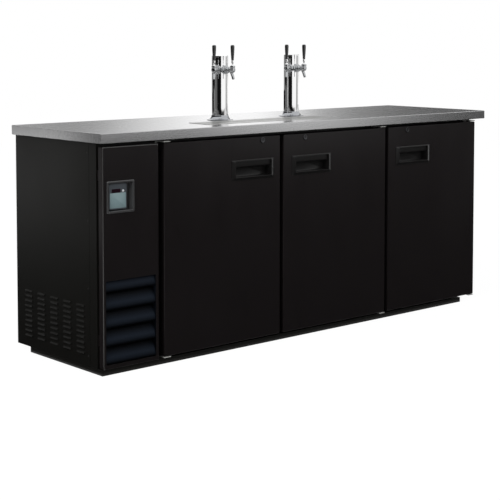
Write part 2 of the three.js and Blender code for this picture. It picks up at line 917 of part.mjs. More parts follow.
function buildCondenser() {
  const half = condenser.width / 2;
  const pitch = condenser.width / condenser.fins;
  const comb = [];
  for (let i = 0; i < condenser.fins; i += 1) {
    const x = -half + i * pitch;
    comb.push([x, 0], [x + pitch / 2, 0]);
    comb.push([x + pitch / 2, condenser.finDepth], [x + pitch, condenser.finDepth]);
  }
  const rearComb = comb.map(([x, y]) => [x, condenser.thickness - y]).reverse();
  const outline = [...comb, ...rearComb].map((p) => new THREE.Vector2(...p));
  const core = plate(new THREE.Shape(outline), condenser.height)
    .translate(condenserAxis.x, condenserFront, trayTop);
  const shroud = cut(
    block([condenserAxis.x - half, condenserBack - condenser.shroud, trayTop],
      [condenserAxis.x + half, condenserBack + condenser.shroud, trayTop + condenser.height]),
    forward(rod(condenser.fanOpening, -overrun, condenser.shroud + overrun, condenser.ringSides))
      .translate(condenserAxis.x, condenserBack + condenser.shroud, condenserAxis.z),
  );
  const s = condenser.strutWidth / 2;
  const reach = condenser.fanOpening + condenser.strutWidth;
  const far = condenserBack + condenser.strutReach;
  const struts = [-reach, reach - condenser.strutThickness].map((z) => block(
    [condenserAxis.x - s, condenserBack, condenserAxis.z + z],
    [condenserAxis.x + s, far + condenser.strutThickness, condenserAxis.z + z + condenser.strutThickness],
  ));
  const bridge = block([condenserAxis.x - s, far, condenserAxis.z - reach],
    [condenserAxis.x + s, far + condenser.strutThickness, condenserAxis.z + reach]);
  const motor = forward(rod(condenser.motorRadius, 0, condenser.motorLength, condenser.ringSides / 2))
    .translate(condenserAxis.x, far + condenser.motorLength, condenserAxis.z);
  const shaft = forward(rod(condenser.shaftRadius, 0, condenser.shaftLength, facets.rod))
    .translate(condenserAxis.x, far + condenser.strutThickness / 2, condenserAxis.z);
  return join(core, shroud, struts, bridge, motor, shaft);
}

function buildCondenserFan() {
  const back = condenserBack + condenser.strutReach + condenser.strutThickness / 2 - condenser.shaftLength
    + condenserFan.hubLength;
  return forward(fanGeometry(condenserFan, condenser.shaftRadius))
    .translate(condenserAxis.x, back, condenserAxis.z);
}

function buildCompressor() {
  const c = compressor;
  const base = trayTop + c.mountHeight;
  const middle = base + c.height * weldShare;
  const shellPoint = ([radius, height]) => [c.radius * radius, base + c.height * height];
  const shell = turned([
    ...shellBelowShares.map(shellPoint),
    [c.radius, middle],
    [c.weldRadius, middle],
    [c.weldRadius, middle + c.weldHeight],
    [c.radius, middle + c.weldHeight],
    ...shellAboveShares.map(shellPoint),
  ], c.sides);
  const foot = plate(rectangle(c.footLength, c.footWidth, c.mountRadius), c.footPlate).translate(0, 0, base);
  const mounts = [];
  for (const sx of [-1, 1]) {
    for (const sy of [-1, 1]) {
      mounts.push(rod(c.mountRadius, trayTop, base + c.footPlate / 2, facets.small).translate(
        sx * (c.footLength / 2 - c.mountInset), sy * (c.footWidth / 2 - c.mountInset), 0));
    }
  }
  const box = block([c.radius * boxFootShare, -c.boxSize / 2, middle - c.boxSize],
    [c.radius + c.boxDepth, c.boxSize / 2, middle - c.weldHeight]);
  const pipes = [-1, 1].map((side) => rod(c.pipeRadius, middle, base + c.height + c.pipeLength, facets.small)
    .translate(side * c.pipeOffset, 0, 0));
  return join(shell, foot, mounts, box, pipes).rotateZ(quarter)
    .translate(machineMiddle, cabinetRear - c.fromRear, 0);
}

// The evaporator hangs on the liner's left wall, with its fan blowing along +X
const evaporatorWall = cavity.left + cold.liner + fit;
const evaporatorTop = cavity.top - cold.liner - evaporator.fromLid;
const evaporatorFront = cavity.front + evaporator.fromFront;
const evaporatorRear = cavity.rear - evaporator.fromRear;
const evaporatorAxis = {
  y: (evaporatorFront + evaporatorRear) / 2,
  z: evaporatorTop - evaporator.height + evaporator.fanRise,
};

function buildEvaporator() {
  const e = evaporator;
  const right = evaporatorWall + e.depth;
  const rear = evaporatorRear;
  const bottom = evaporatorTop - e.height;
  const shell = cut(
    block([evaporatorWall, evaporatorFront, bottom], [right, rear, evaporatorTop]),
    block([evaporatorWall - overrun, evaporatorFront + e.gauge, bottom - overrun],
      [right - e.gauge, rear - e.gauge, evaporatorTop - e.gauge]),
    sideways(rod(e.fanOpening, -overrun, overrun, e.ringSides))
      .translate(right, evaporatorAxis.y, evaporatorAxis.z),
  );
  const coil = block(
    [evaporatorWall, evaporatorFront, bottom],
    [evaporatorWall + e.coil, rear, evaporatorTop],
  );
  const motor = sideways(rod(e.motorRadius, 0, e.motorLength, e.ringSides / 2))
    .translate(evaporatorWall + e.coil - fit, evaporatorAxis.y, evaporatorAxis.z);
  const shaft = sideways(rod(e.shaftRadius, 0, e.motorLength + e.shaftLength, facets.rod))
    .translate(evaporatorWall + e.coil - fit, evaporatorAxis.y, evaporatorAxis.z);
  return join(shell, coil, motor, shaft);
}

function buildEvaporatorFan() {
  const tip = evaporatorWall + evaporator.coil - fit + evaporator.motorLength + evaporator.shaftLength;
  return sideways(fanGeometry(evaporatorFan, evaporator.shaftRadius))
    .translate(tip - evaporatorFan.hubLength, evaporatorAxis.y, evaporatorAxis.z);
}

// Drip tray

function buildDripPan() {
  const inner = { width: pan.width - 2 * pan.flange, depth: pan.depth - 2 * pan.flange };
  const bottom = worktop.height - pan.sink;
  const top = worktop.height + pan.flangeThickness;
  const flange = plate(rectangle(pan.width, pan.depth, pan.corner), pan.flangeThickness)
    .translate(0, 0, worktop.height);
  const tub = plate(rectangle(inner.width, inner.depth), top - bottom).translate(0, 0, bottom);
  const seat = grate.thickness + grate.drop;
  const mouth = plate(rectangle(inner.width - 2 * pan.wall, inner.depth - 2 * pan.wall), seat + overrun)
    .translate(0, 0, top - seat);
  const well = plate(
    rectangle(inner.width - 2 * pan.wall - 2 * pan.ledge, inner.depth - 2 * pan.wall - 2 * pan.ledge),
    top - bottom,
  ).translate(0, 0, bottom + pan.wall);
  const outlet = rod(spud.radius, bottom - spud.length, bottom + pan.wall, spud.sides);
  const bore = rod(spud.bore, bottom - spud.length - overrun, bottom + pan.wall + overrun, spud.sides);
  return cut(join(flange, tub, outlet), mouth, well, bore).translate(panMiddle.x, panMiddle.y, 0);
}

function buildGrate() {
  const width = pan.width - 2 * pan.flange - 2 * pan.wall - 2 * fit;
  const depth = pan.depth - 2 * pan.flange - 2 * pan.wall - 2 * fit;
  const pitch = (width - 2 * grate.edge - grate.slotWidth) / (grate.slots - 1);
  const top = worktop.height + pan.flangeThickness - grate.drop;
  const sheet = plate(rectangle(width, depth), grate.thickness).translate(0, 0, top - grate.thickness);
  const openings = [];
  for (let i = 0; i < grate.slots; i += 1) {
    const x = -width / 2 + grate.edge + i * pitch;
    openings.push(block(
      [x, grate.edge - depth / 2, top - grate.thickness - overrun],
      [x + grate.slotWidth, depth / 2 - grate.edge, top + overrun],
    ));
  }
  return cut(sheet, openings).translate(panMiddle.x, panMiddle.y, 0);
}

// Doors. Each is built about the middle of its front face's lower edge. A leaf's hand is -1 where the
// hinges are on the left and 1 where they are on the right.

function hingeX(leaf) {
  return leaf.hand * (leaf.width / 2 - hinge.axisInset);
}

function cupPlace(leaf) {
  return {
    x: -leaf.hand * (leaf.width / 2 - cup.margin - cup.width / 2) + cup.shift,
    z: doorHeight - cup.topDrop - cup.height / 2,
  };
}

function lockPlace(leaf) {
  return { x: -leaf.hand * (leaf.width / 2 - lock.inset) + lock.shift, z: doorHeight - lock.drop };
}

// The open space inside the handle's rim: its width, its height and how far its middle is above the handle's
const cupInside = {
  width: cup.width - 2 * cup.sideRim - 2 * cup.ridge,
  height: cup.height - cup.topRim - cup.bottomRim - 2 * cup.ridge,
  rise: (cup.bottomRim - cup.topRim) / 2,
};

// The handle's tub, from inside its flange to its back, grown all round by a margin
function cupTub(margin) {
  const grown = 2 * (cup.wall + margin);
  const back = cup.depth + cup.wall + margin;
  return forward(plate(rectangle(cupInside.width + grown, cupInside.height + grown), back + cup.flange / 2))
    .translate(0, back, cupInside.rise);
}

function buildDoor(leaf) {
  const middle = doorHeight / 2;
  const { thickness, corner, edgeRadius, edgeSteps, plugInset, plugDepth, plugCorner, plugEase } = door;
  const slab = forward(easedPlate(leaf.width, doorHeight, thickness, corner, edgeRadius, edgeSteps))
    .translate(0, thickness, middle);
  const plugWidth = leaf.width - 2 * plugInset;
  const plugHeight = doorHeight - 2 * plugInset;
  const plug = forward(easedPlate(plugWidth, plugHeight, 2 * plugDepth, plugCorner, plugEase))
    .translate(0, thickness + plugDepth, middle);
  const place = cupPlace(leaf);
  const pocket = cupTub(fit).translate(place.x, 0, place.z);
  const key = lockPlace(leaf);
  const lockBore = forward(rod(lock.barrelRadius + fit, -fit, lock.barrelLength + overrun, lock.sides))
    .translate(key.x, lock.barrelLength, key.z);
  const boreRadius = hinge.pinRadius + hinge.pinFit;
  const boreDepth = hinge.pinReach + fit + hinge.pinFit;
  const bores = [
    rod(boreRadius, doorHeight - boreDepth, doorHeight + overrun, hinge.sides),
    rod(boreRadius, -overrun, boreDepth, hinge.sides),
  ].map((bore) => bore.translate(hingeX(leaf), hinge.axisDepth, 0));
  return cut(join(slab, plug), pocket, lockBore, bores);
}

// A flat ring that follows the door's outline at an inset, between two depths behind the door
function gasketRing(leaf, inset, width, from, to) {
  const size = { x: leaf.width - 2 * inset, y: doorHeight - 2 * inset };
  const outer = plate(rectangle(size.x, size.y, gasket.corner), to - from);
  const inner = plate(rectangle(size.x - 2 * width, size.y - 2 * width), to - from + 2 * overrun)
    .translate(0, 0, -overrun);
  return forward(cut(outer, inner)).translate(0, to, 0);
}

function buildGasket(leaf) {
  const foot = gasketRing(leaf, gasket.inset, gasket.width, 0, gasket.footHeight);
  const bulb = gasketRing(leaf, gasket.inset + gasket.bulbInset, gasket.width - 2 * gasket.bulbInset,
    gasket.footHeight / 2, gasket.thickness);
  return join(foot, bulb).translate(0, door.thickness, doorHeight / 2);
}

// The handle: a flange that slopes up to a ridge all round, a hood to pull on, and a pocket below it
function buildCup() {
  const ridge = { width: cupInside.width + 2 * cup.ridge, height: cupInside.height + 2 * cup.ridge };
  const rim = forward(loft([
    rectangleRing(cup.width, cup.height, cup.corner, 0),
    rectangleRing(cup.width, cup.height, cup.corner, cup.flange),
    rectangleRing(ridge.width, ridge.height, cup.corner, cup.proud, cupInside.rise),
  ]));
  const inside = forward(plate(rectangle(cupInside.width, cupInside.height), cup.depth + cup.proud + overrun))
    .translate(0, cup.depth, cupInside.rise);
  const hoodFront = cup.hoodDrop - cup.proud;
  const hoodTop = cupInside.rise + cupInside.height / 2;
  const hoodLow = hoodTop - cup.hoodHeight;
  const hoodSheet = foldedSheet([
    [hoodFront, hoodTop + cup.wall / 2],
    [hoodFront, hoodLow],
    [hoodFront + cup.hoodLip, hoodLow],
  ], cup.hoodWall);
  const hoodWidth = cupInside.width + cup.wall;
  const hood = sideways(plate(hoodSheet, hoodWidth)).translate(-hoodWidth / 2, 0, 0);
  return join(cut(join(rim, cupTub(0)), inside), hood);
}

function buildLock() {
  const body = forward(turned([
    [0, 0],
    [lock.barrelRadius, 0],
    [lock.barrelRadius, lock.barrelLength + fit],
    [lock.rimRadius, lock.barrelLength + fit],
    [lock.rimRadius, lock.barrelLength + lock.rimProud - lock.rimEase],
    [lock.rimRadius - lock.rimEase, lock.barrelLength + lock.rimProud],
    [0, lock.barrelLength + lock.rimProud],
  ], lock.sides)).translate(0, lock.barrelLength, 0);
  const keyway = block(
    [-lock.keyWidth / 2, -lock.rimProud - overrun, -lock.keyHeight / 2],
    [lock.keyWidth / 2, -lock.rimProud + lock.keyDepth, lock.keyHeight / 2],
  );
  return cut(body, keyway);
}

// The two ends of a span in rising order
function span(from, to) {
  return [Math.min(from, to), Math.max(from, to)];
}

// A hinge bracket: a plate that carries the pin, and a leg that is screwed to the cabinet's face.
// up is 1 for the bracket below the door, whose pin and leg rise, and -1 for the one above it.
function buildHinge(leaf, up) {
  const edge = leaf.hand * (leaf.width / 2);
  const face = cabinetFront - doorFace;
  const low = up > 0 ? -door.bottomGap - hinge.plate : doorHeight + hinge.topGap;
  const high = low + hinge.plate;
  const outer = edge + leaf.hand * hinge.plateOver;
  const [plateLeft, plateRight] = span(outer, edge - leaf.hand * hinge.plateLength);
  const bracket = block([plateLeft, hinge.plateFront, low], [plateRight, face, high]);
  const [legLeft, legRight] = span(edge, edge - leaf.hand * hinge.legWidth);
  const [legLow, legHigh] = up > 0 ? [low, low + hinge.legHeight] : [high - hinge.legHeight, high];
  const leg = block([legLeft, face - hinge.leg, legLow], [legRight, face, legHigh]);
  const [pinLow, pinHigh] = up > 0 ? [low + hinge.plate / 2, hinge.pinReach]
    : [doorHeight - hinge.pinReach, low + hinge.plate / 2];
  const pin = rod(hinge.pinRadius, pinLow, pinHigh, hinge.sides).translate(hingeX(leaf), hinge.axisDepth, 0);
  return join(bracket, leg, pin);
}

function addDoor(leaf, index) {
  const name = `door_${index + 1}`;
  const frame = addGroup(kegCooler, leaf.left + leaf.width / 2, doorFace, doorBottom);
  addPiece(frame, name, buildDoor(leaf), finishes.black);
  addPiece(frame, `${name}_gasket`, buildGasket(leaf), finishes.rubber);
  const handlePlace = cupPlace(leaf);
  addPiece(addGroup(frame, handlePlace.x, 0, handlePlace.z), `${name}_handle`, buildCup(), finishes.black);
  const key = lockPlace(leaf);
  addPiece(addGroup(frame, key.x, 0, key.z), `${name}_lock`, buildLock(), finishes.chrome);
  addPiece(frame, `${name}_top_hinge`, buildHinge(leaf, -1), finishes.galvanised);
  addPiece(frame, `${name}_bottom_hinge`, buildHinge(leaf, 1), finishes.galvanised);
}

// Towers. Each is built about its own axis on the worktop.

function buildTowerFlange() {
  const t = tower;
  const bore = t.radius + fit;
  const shoulder = bore + t.wall;
  const rim = t.flangeRadius - t.wall;
  const cove = [];
  for (let i = 0; i <= t.coveSteps; i += 1) {
    const angle = (quarter * i) / t.coveSteps;
    cove.push([
      rim - (rim - shoulder) * Math.sin(angle),
      t.flangeHeight - (t.flangeHeight - t.flangeEdge) * Math.cos(angle),
    ]);
  }
  return turned([
    [t.flangeBore, 0],
    [t.flangeRadius, 0],
    [t.flangeRadius, t.flangeEdge - t.wall],
    ...cove,
    [bore, t.flangeHeight],
    [bore, t.columnSeat],
    [t.flangeBore, t.columnSeat],
    [t.flangeBore, 0],
  ], t.sides);
}

function shankBore(side) {
  return forward(rod(faucet.shankRadius + fit, 0, tower.radius + overrun, facets.rod))
    .translate(0, 0, faucet.height)
    .rotateZ((side * faucet.spread) / 2);
}

function buildTowerColumn() {
  const pipe = turned([
    [tower.radius - tower.wall, tower.columnSeat],
    [tower.radius, tower.columnSeat],
    [tower.radius, tower.columnTop],
    [tower.radius - tower.wall, tower.columnTop],
    [tower.radius - tower.wall, tower.columnSeat],
  ], tower.sides);
  return cut(pipe, shankBore(-1), shankBore(1));
}

function buildTowerCap() {
  const t = tower;
  const plug = t.radius - t.wall - fit;
  return turned([
    [0, t.columnTop - t.capPlug],
    [plug, t.columnTop - t.capPlug],
    [plug, t.columnTop + fit],
    [t.radius, t.columnTop + fit],
    ...arc([t.radius - t.capEase, t.topHeight - t.capEase], t.capEase, 0, quarter, t.capSteps),
    [0, t.topHeight],
  ], t.sides);
}

// Faucets. Each is built with the tower's axis at the origin, pointing along -Y.

function buildShank(side) {
  const f = faucet;
  const neighbour = block([-fit / 2, -f.reach, -f.reach], [f.reach, f.reach, f.reach])
    .rotateZ(side < 0 ? 0 : 2 * quarter)
    .rotateZ((-side * f.spread) / 2);
  const collar = cut(
    forward(turned([
      [0, f.shankStart],
      [f.collarRadius, f.shankStart],
      [f.collarRadius, f.collarFace],
      [f.nutRadius, f.collarEnd],
      [0, f.collarEnd],
    ], facets.rod)),
    rod(roundFaceted(tower.radius, tower.sides) + fit, -f.height, f.height, tower.sides),
    neighbour,
  );
  const stem = forward(turned([
    [0, f.nippleStart],
    [f.nippleRadius, f.nippleStart],
    [f.nippleRadius, f.shankStart],
    [f.shankRadius, f.shankStart],
    [f.shankRadius, f.collarEnd - f.nutEase],
    [f.nutRadius, f.collarEnd],
    [f.nutRadius, f.nutEnd - f.nutEase],
    [f.nutRadius - f.nutEase, f.nutEnd],
    [0, f.nutEnd],
  ], facets.rod));
  return join(collar, stem).translate(0, 0, f.height);
}

// A circle of points square to a path that runs in the YZ plane, at a share of its length
function ringAlong(path, along, radius, sides, beyond = 0) {
  const heading = path.getTangent(along);
  const centre = path.getPoint(along).addScaledVector(heading, beyond);
  const across = new THREE.Vector3(1, 0, 0);
  const up = heading.clone().cross(across);
  const points = [];
  for (let i = 0; i < sides; i += 1) {
    const angle = (2 * Math.PI * i) / sides;
    points.push(centre.clone().addScaledVector(across, radius * Math.cos(angle))
      .addScaledVector(up, radius * Math.sin(angle)));
  }
  return points;
}

function buildFaucetBody() {
  const f = faucet;
  const start = f.nutEnd + fit;
  const front = f.reach + f.bonnetRadius - f.ballDrop;
  const barrel = forward(turned([
    [0, start],
    [f.barrelRadius, start],
    [f.barrelRadius, start + f.nutEase],
    [f.waistRadius, start + f.waistRadius / 2],
    [f.waistRadius, start + f.waistRadius],
    [f.barrelRadius, start + 2 * f.waistRadius],
    [f.barrelRadius, front - f.waistRadius / 2],
    [f.barrelRadius * barrelNoseShare, front - f.nutEase],
    [0, front],
  ], facets.rod));
  const bonnet = turned([
    [0, 0],
    [f.bonnetRadius, 0],
    [f.bonnetRadius, f.bonnetRise - f.nutEase],
    [f.bonnetRadius - f.nutEase, f.bonnetRise],
    [0, f.bonnetRise],
  ], facets.rod).translate(0, -f.reach, 0);
  const ballZ = f.bonnetRise - f.ballDrop;
  const socket = f.ballRadius + fit;
  const seat = turned([
    [0, ballZ - socket],
    [socket, ballZ - socket],
    [socket, f.bonnetRise + overrun],
    [0, f.bonnetRise + overrun],
  ], facets.rod).translate(0, -f.reach, 0);
  const route = new THREE.QuadraticBezierCurve3(
    new THREE.Vector3(0, f.spoutIn - f.reach, 0),
    new THREE.Vector3(0, -f.reach, -f.spoutDrop / 2),
    new THREE.Vector3(0, -f.reach - f.spoutOut, -f.spoutDrop),
  );
  const rings = [];
  for (let step = 0; step <= f.spoutSteps; step += 1) {
    const along = step / f.spoutSteps;
    const radius = f.spoutRadius + (f.spoutTipRadius - f.spoutRadius) * along;
    rings.push(ringAlong(route, along, radius, facets.small));
  }
  const spout = loft(rings);
  const mouth = loft([
    ringAlong(route, 1 - f.spoutBoreDepth / f.spoutDrop, f.spoutBore, facets.small),
    ringAlong(route, 1, f.spoutBore, facets.small),
    ringAlong(route, 1, f.spoutBore, facets.small, overrun),
  ]);
  return cut(join(barrel, bonnet, spout), seat, mouth).translate(0, 0, f.height);
}

// The lever is built about its ball's centre, on the faucet's own axis
function buildLever() {
  const f = faucet;
  const start = -quarter;
  const end = Math.acos(f.stemRadius / f.ballRadius);
  return turned([
    ...arc([0, 0], f.ballRadius, start, end, f.ballSteps).map(([r, z], i) => [i === 0 ? 0 : r, z]),
    [f.stemRadius, f.ferruleStart - f.ferruleRadius],
    [f.ferruleRadius, f.ferruleStart],
    [f.ferruleRadius, f.handleStart - fit],
    [0, f.handleStart - fit],
  ], facets.rod);
}

function buildTapHandle() {
  const f = faucet;
  return turned([
    [0, f.handleStart],
    [f.handleBase, f.handleStart],
    [f.handleBase + fit, f.handleStart + f.handleEase],
    [f.handleTop, f.handleEnd - 2 * f.handleEase],
    ...arc([f.handleTop - f.handleEase, f.handleEnd - f.handleEase], f.handleEase, 0, quarter, 2),
    [0, f.handleEnd],
  ], facets.rod);
}

function addTower(index) {
  const name = `tower_${index + 1}`;
  const frame = addGroup(kegCooler, tower.places[index], towerY, worktop.height, -tower.turn);
  addPiece(frame, `${name}_flange`, buildTowerFlange(), finishes.chrome);
  addPiece(frame, `${name}_column`, buildTowerColumn(), finishes.chrome);
  addPiece(frame, `${name}_cap`, buildTowerCap(), finishes.chrome);
  for (const side of [-1, 1]) {
    const number = 2 * index + (side < 0 ? 1 : 2);
    const arm = addGroup(frame, 0, 0, 0, (side * faucet.spread) / 2);
    addPiece(arm, `faucet_${number}_shank`, buildShank(side), finishes.chrome);
    addPiece(arm, `faucet_${number}_body`, buildFaucetBody(), finishes.chrome);
    const pivot = addGroup(arm, 0, -faucet.reach, faucet.height + faucet.bonnetRise - faucet.ballDrop);
    addPiece(pivot, `faucet_${number}_lever`, buildLever(), finishes.chrome);
    addPiece(pivot, `faucet_${number}_handle`, buildTapHandle(), finishes.handle);
  }
}

// The whole cooler

addPiece(kegCooler, "plinth", buildPlinth(), finishes.darkSheet);
addPiece(kegCooler, "cold_box", buildColdBox(), finishes.black);
addPiece(kegCooler, "lid_panel", buildLidPanel(), finishes.galvanised);
addPiece(kegCooler, "inner_liner", buildLiner(), finishes.liner);
addPiece(kegCooler, "worktop", buildWorktop(), finishes.stainless);
addPiece(kegCooler, "machine_frame", buildMachineFrame(), finishes.black);
addPiece(kegCooler, "side_panel", buildSidePanel(), finishes.black);
addPiece(kegCooler, "rear_panel", buildRearPanel(), finishes.galvanised);
addPiece(kegCooler, "front_cover", buildFrontCover(), finishes.black);
addPiece(kegCooler, "louvre_grille", buildLouvreGrille(), finishes.darkSheet);
addPiece(kegCooler, "window_frame", buildWindowFrame(), finishes.black);
addPiece(kegCooler, "controller", buildController(), finishes.plastic);
addPiece(kegCooler, "set_button", buildSetButton(), finishes.button);
addPiece(kegCooler, "condenser", buildCondenser(), finishes.aluminium);
addPiece(kegCooler, "condenser_fan", buildCondenserFan(), finishes.aluminium);
addPiece(kegCooler, "compressor", buildCompressor(), finishes.compressor);
addPiece(kegCooler, "evaporator", buildEvaporator(), finishes.aluminium);
addPiece(kegCooler, "evaporator_fan", buildEvaporatorFan(), finishes.aluminium);
addPiece(kegCooler, "drip_pan", buildDripPan(), finishes.stainless);
addPiece(kegCooler, "drip_grate", buildGrate(), finishes.stainless);
leaves.forEach((leaf, index) => addDoor(leaf, index));
tower.places.forEach((place, index) => addTower(index));

export default kegCooler;
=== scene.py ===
"""Looks of a three-door keg cooler: its finishes, its turned and moulded parts, and a plain studio around it.

Metres. X runs along the front, -Y is the front and +Z is up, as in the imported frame.
"""

import json
import logging
import math
from collections.abc import Sequence
from dataclasses import dataclass, field
from enum import Enum

import bmesh
import bpy
import numpy as np
from mathutils import Euler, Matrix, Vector

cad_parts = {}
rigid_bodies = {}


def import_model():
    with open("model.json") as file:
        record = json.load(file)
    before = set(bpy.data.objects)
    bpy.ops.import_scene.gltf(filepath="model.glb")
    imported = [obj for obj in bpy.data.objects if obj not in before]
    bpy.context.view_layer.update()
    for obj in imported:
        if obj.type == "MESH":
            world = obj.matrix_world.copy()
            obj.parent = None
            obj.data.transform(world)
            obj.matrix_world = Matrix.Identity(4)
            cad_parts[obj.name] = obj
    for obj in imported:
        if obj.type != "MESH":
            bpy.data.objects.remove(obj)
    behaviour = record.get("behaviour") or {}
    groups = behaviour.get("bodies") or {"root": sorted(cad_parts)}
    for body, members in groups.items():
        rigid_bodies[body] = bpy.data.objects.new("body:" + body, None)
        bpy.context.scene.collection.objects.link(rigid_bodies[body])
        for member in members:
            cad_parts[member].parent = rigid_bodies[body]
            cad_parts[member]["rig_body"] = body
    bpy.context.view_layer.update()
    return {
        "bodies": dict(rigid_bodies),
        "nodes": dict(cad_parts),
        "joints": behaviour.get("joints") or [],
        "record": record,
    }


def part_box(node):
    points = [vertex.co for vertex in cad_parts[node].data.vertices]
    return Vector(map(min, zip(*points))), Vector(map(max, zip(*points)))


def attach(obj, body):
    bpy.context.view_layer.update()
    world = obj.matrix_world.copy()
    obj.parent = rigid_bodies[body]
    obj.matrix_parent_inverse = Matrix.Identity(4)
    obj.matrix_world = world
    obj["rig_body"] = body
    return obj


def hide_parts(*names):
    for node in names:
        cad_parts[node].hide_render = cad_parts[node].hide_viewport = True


LOG = logging.getLogger("keg_cooler")
PICTURE_WIDTH = 500
MM = 0.001
WELD = 2e-6
QUARTER = math.pi / 2
FULL_TURN = 2 * math.pi

# Angles between faces: above them a made piece, a carved one and a rounded copy have an edge,
# and below the last one a copy's faces are merged
CREASE = math.radians(38)
CARVED_CREASE = math.radians(35)
CORNER = math.radians(50)
FLAT = math.radians(0.4)

# How rough every clear coat is, what the layers' values are multiplied by, and the smoothest spot
COAT_ROUGHNESS = 0.08
LAYER_STRENGTH = 2.0
SMOOTHEST = 0.02


# Surfaces


def lattice(rows: int, columns: int, wrap_rows: bool = False) -> np.ndarray:
    """Works out the quads of a grid of points whose rows are closed loops.

    Args:
        rows: How many loops the grid has.
        columns: How many points each loop has.
        wrap_rows: Whether the last loop joins the first.

    Returns:
        Four point numbers for each quad: point (r, c) has the number r * columns + c.
    """
    row, column = np.meshgrid(np.arange(rows if wrap_rows else rows - 1), np.arange(columns), indexing="ij")
    next_row = (row + 1) % rows
    next_column = (column + 1) % columns
    corners = (
        row * columns + column,
        row * columns + next_column,
        next_row * columns + next_column,
        next_row * columns + column,
    )
    return np.stack(corners, axis=-1).reshape(-1, 4)


@dataclass
class Surface:
    """A skin of points and faces, in metres.

    Attributes:
        points: One row of x, y, z for each point.
        faces: The point numbers of each face.
    """

    points: np.ndarray
    faces: list[list[int]]

    def moved(self, offset: Sequence[float]) -> "Surface":
        """Returns the surface shifted by an offset."""
        return Surface(self.points + np.asarray(offset, float), self.faces)

    def turned_to(self, across: Sequence[float], along: Sequence[float], up: Sequence[float]) -> "Surface":
        """Returns the surface with its x, y and z axes laid along three unit vectors."""
        return Surface(self.points @ np.array([across, along, up], float), self.faces)

    def forward(self) -> "Surface":
        """Returns a surface that was turned about +Z laid along -Y, with its own +Y up."""
        return self.turned_to((1, 0, 0), (0, 0, 1), (0, -1, 0))

    def with_more(self, *others: "Surface") -> "Surface":
        """Puts the surface and others in one, each still its own closed body.

        Args:
            others: The surfaces that join it.

        Returns:
            The surface that holds them all.
        """
        points = [self.points]
        faces = list(self.faces)
        count = len(self.points)
        for other in others:
            points.append(other.points)
            faces.extend([corner + count for corner in face] for face in other.faces)
            count += len(other.points)
        return Surface(np.concatenate(points), faces)


def together(surfaces: Sequence[Surface]) -> Surface:
    """Returns several surfaces as one, each still its own closed body."""
    return surfaces[0].with_more(*surfaces[1:])


def lofted(loops: np.ndarray, ring: bool = False) -> Surface:
    """Joins loops of points that match one to one into a skin.

    Args:
        loops: An array of loops, each a row of points.
        ring: Whether the last loop joins the first; otherwise both ends are closed flat.

    Returns:
        The closed surface.
    """
    rows, columns = loops.shape[:2]
    faces = lattice(rows, columns, wrap_rows=ring).tolist()
    if not ring:
        faces.append(list(range(columns))[::-1])
        faces.append(list(range((rows - 1) * columns, rows * columns)))
    return Surface(loops.reshape(-1, 3), faces)


def revolved(radius: np.ndarray, height: np.ndarray, angle: np.ndarray) -> np.ndarray:
    """Lays out loops about Z: x = radius * cos(a), y = radius * sin(a), z = height at each angle a."""
    return np.stack([radius * np.cos(angle), radius * np.sin(angle), height + 0 * angle], axis=-1)


def turned(profile: np.ndarray, sides: int = 64, ring: bool = False) -> Surface:
    """Turns a profile about Z.

    Args:
        profile: Rows of radius and height.
        sides: How many steps the turn has.
        ring: Whether the profile closes on itself instead of ending on the axis.

    Returns:
        The closed surface.
    """
    angle = np.linspace(0, FULL_TURN, sides, endpoint=False)
    return lofted(revolved(profile[:, 0, None], profile[:, 1, None], angle), ring)


def bend(start: np.ndarray, pull: np.ndarray, end: np.ndarray, share: np.ndarray) -> np.ndarray:
    """Works out a quadratic curve: (1 - s)^2 * start + 2 * s * (1 - s) * pull + s^2 * end at each share s."""
    return (1 - share) ** 2 * start + 2 * share * (1 - share) * pull + share**2 * end


def rounded_line(corners: Sequence[tuple[float, float, float]], steps: int = 5) -> np.ndarray:
    """Rounds the corners of a line: at each corner with a radius, a quadratic curve runs between the points
    that lie that radius before and after it, with the corner as its pull point. No round takes as much as
    half of a side.

    Args:
        corners: Two coordinates and a radius for each corner, in millimetres.
        steps: How many steps each round has.

    Returns:
        Rows of two coordinates in metres.
    """
    longest = 0.49
    places = np.array([corner[:2] for corner in corners], float) * MM
    share = np.linspace(0, 1, steps + 1)[:, None]
    line = []
    for i, (_, _, radius) in enumerate(corners):
        if radius == 0 or i in (0, len(corners) - 1):
            line.append(places[i : i + 1])
            continue
        ends = []
        for other in (places[i - 1], places[i + 1]):
            span = np.linalg.norm(other - places[i])
            ends.append(places[i] + (other - places[i]) * min(radius * MM / span, longest))
        line.append(bend(ends[0], places[i], ends[1], share))
    return np.concatenate(line)


def rounded_loop(width: float, height: float, radius: float, steps: int = 6) -> np.ndarray:
    """Lays out a rounded rectangle: four quarter circles, each about its own corner's centre.

    Args:
        width: Full width.
        height: Full height.
        radius: Corner radius, in the same unit.
        steps: How many steps each corner has.

    Returns:
        Rows of two coordinates, anticlockwise.
    """
    quarter_turn = np.linspace(0, QUARTER, steps + 1)
    loop = []
    for corner, (sx, sy) in enumerate(((1, 1), (-1, 1), (-1, -1), (1, -1))):
        angle = quarter_turn + corner * QUARTER
        centre = np.array([sx * (width / 2 - radius), sy * (height / 2 - radius)])
        loop.append(centre + radius * np.stack([np.cos(angle), np.sin(angle)], axis=-1))
    return np.concatenate(loop)


def framed(rings: Sequence[tuple[float, float, float, float, float]], closed_ring: bool = False) -> Surface:
    """Lofts upright rounded rectangles, one behind the other.

    Args:
        rings: Width, height, corner radius, depth behind the front plane and rise of the middle of each
            rectangle, in millimetres.
        closed_ring: Whether the last rectangle joins the first.

    Returns:
        The closed surface, about the middle of the front plane.
    """
    loops = []
    for width, height, radius, depth, rise in rings:
        flat = rounded_loop(width, height, radius)
        loops.append(np.column_stack([flat[:, 0], np.full(len(flat), depth), flat[:, 1] + rise]))
    return lofted(np.array(loops) * MM, closed_ring)


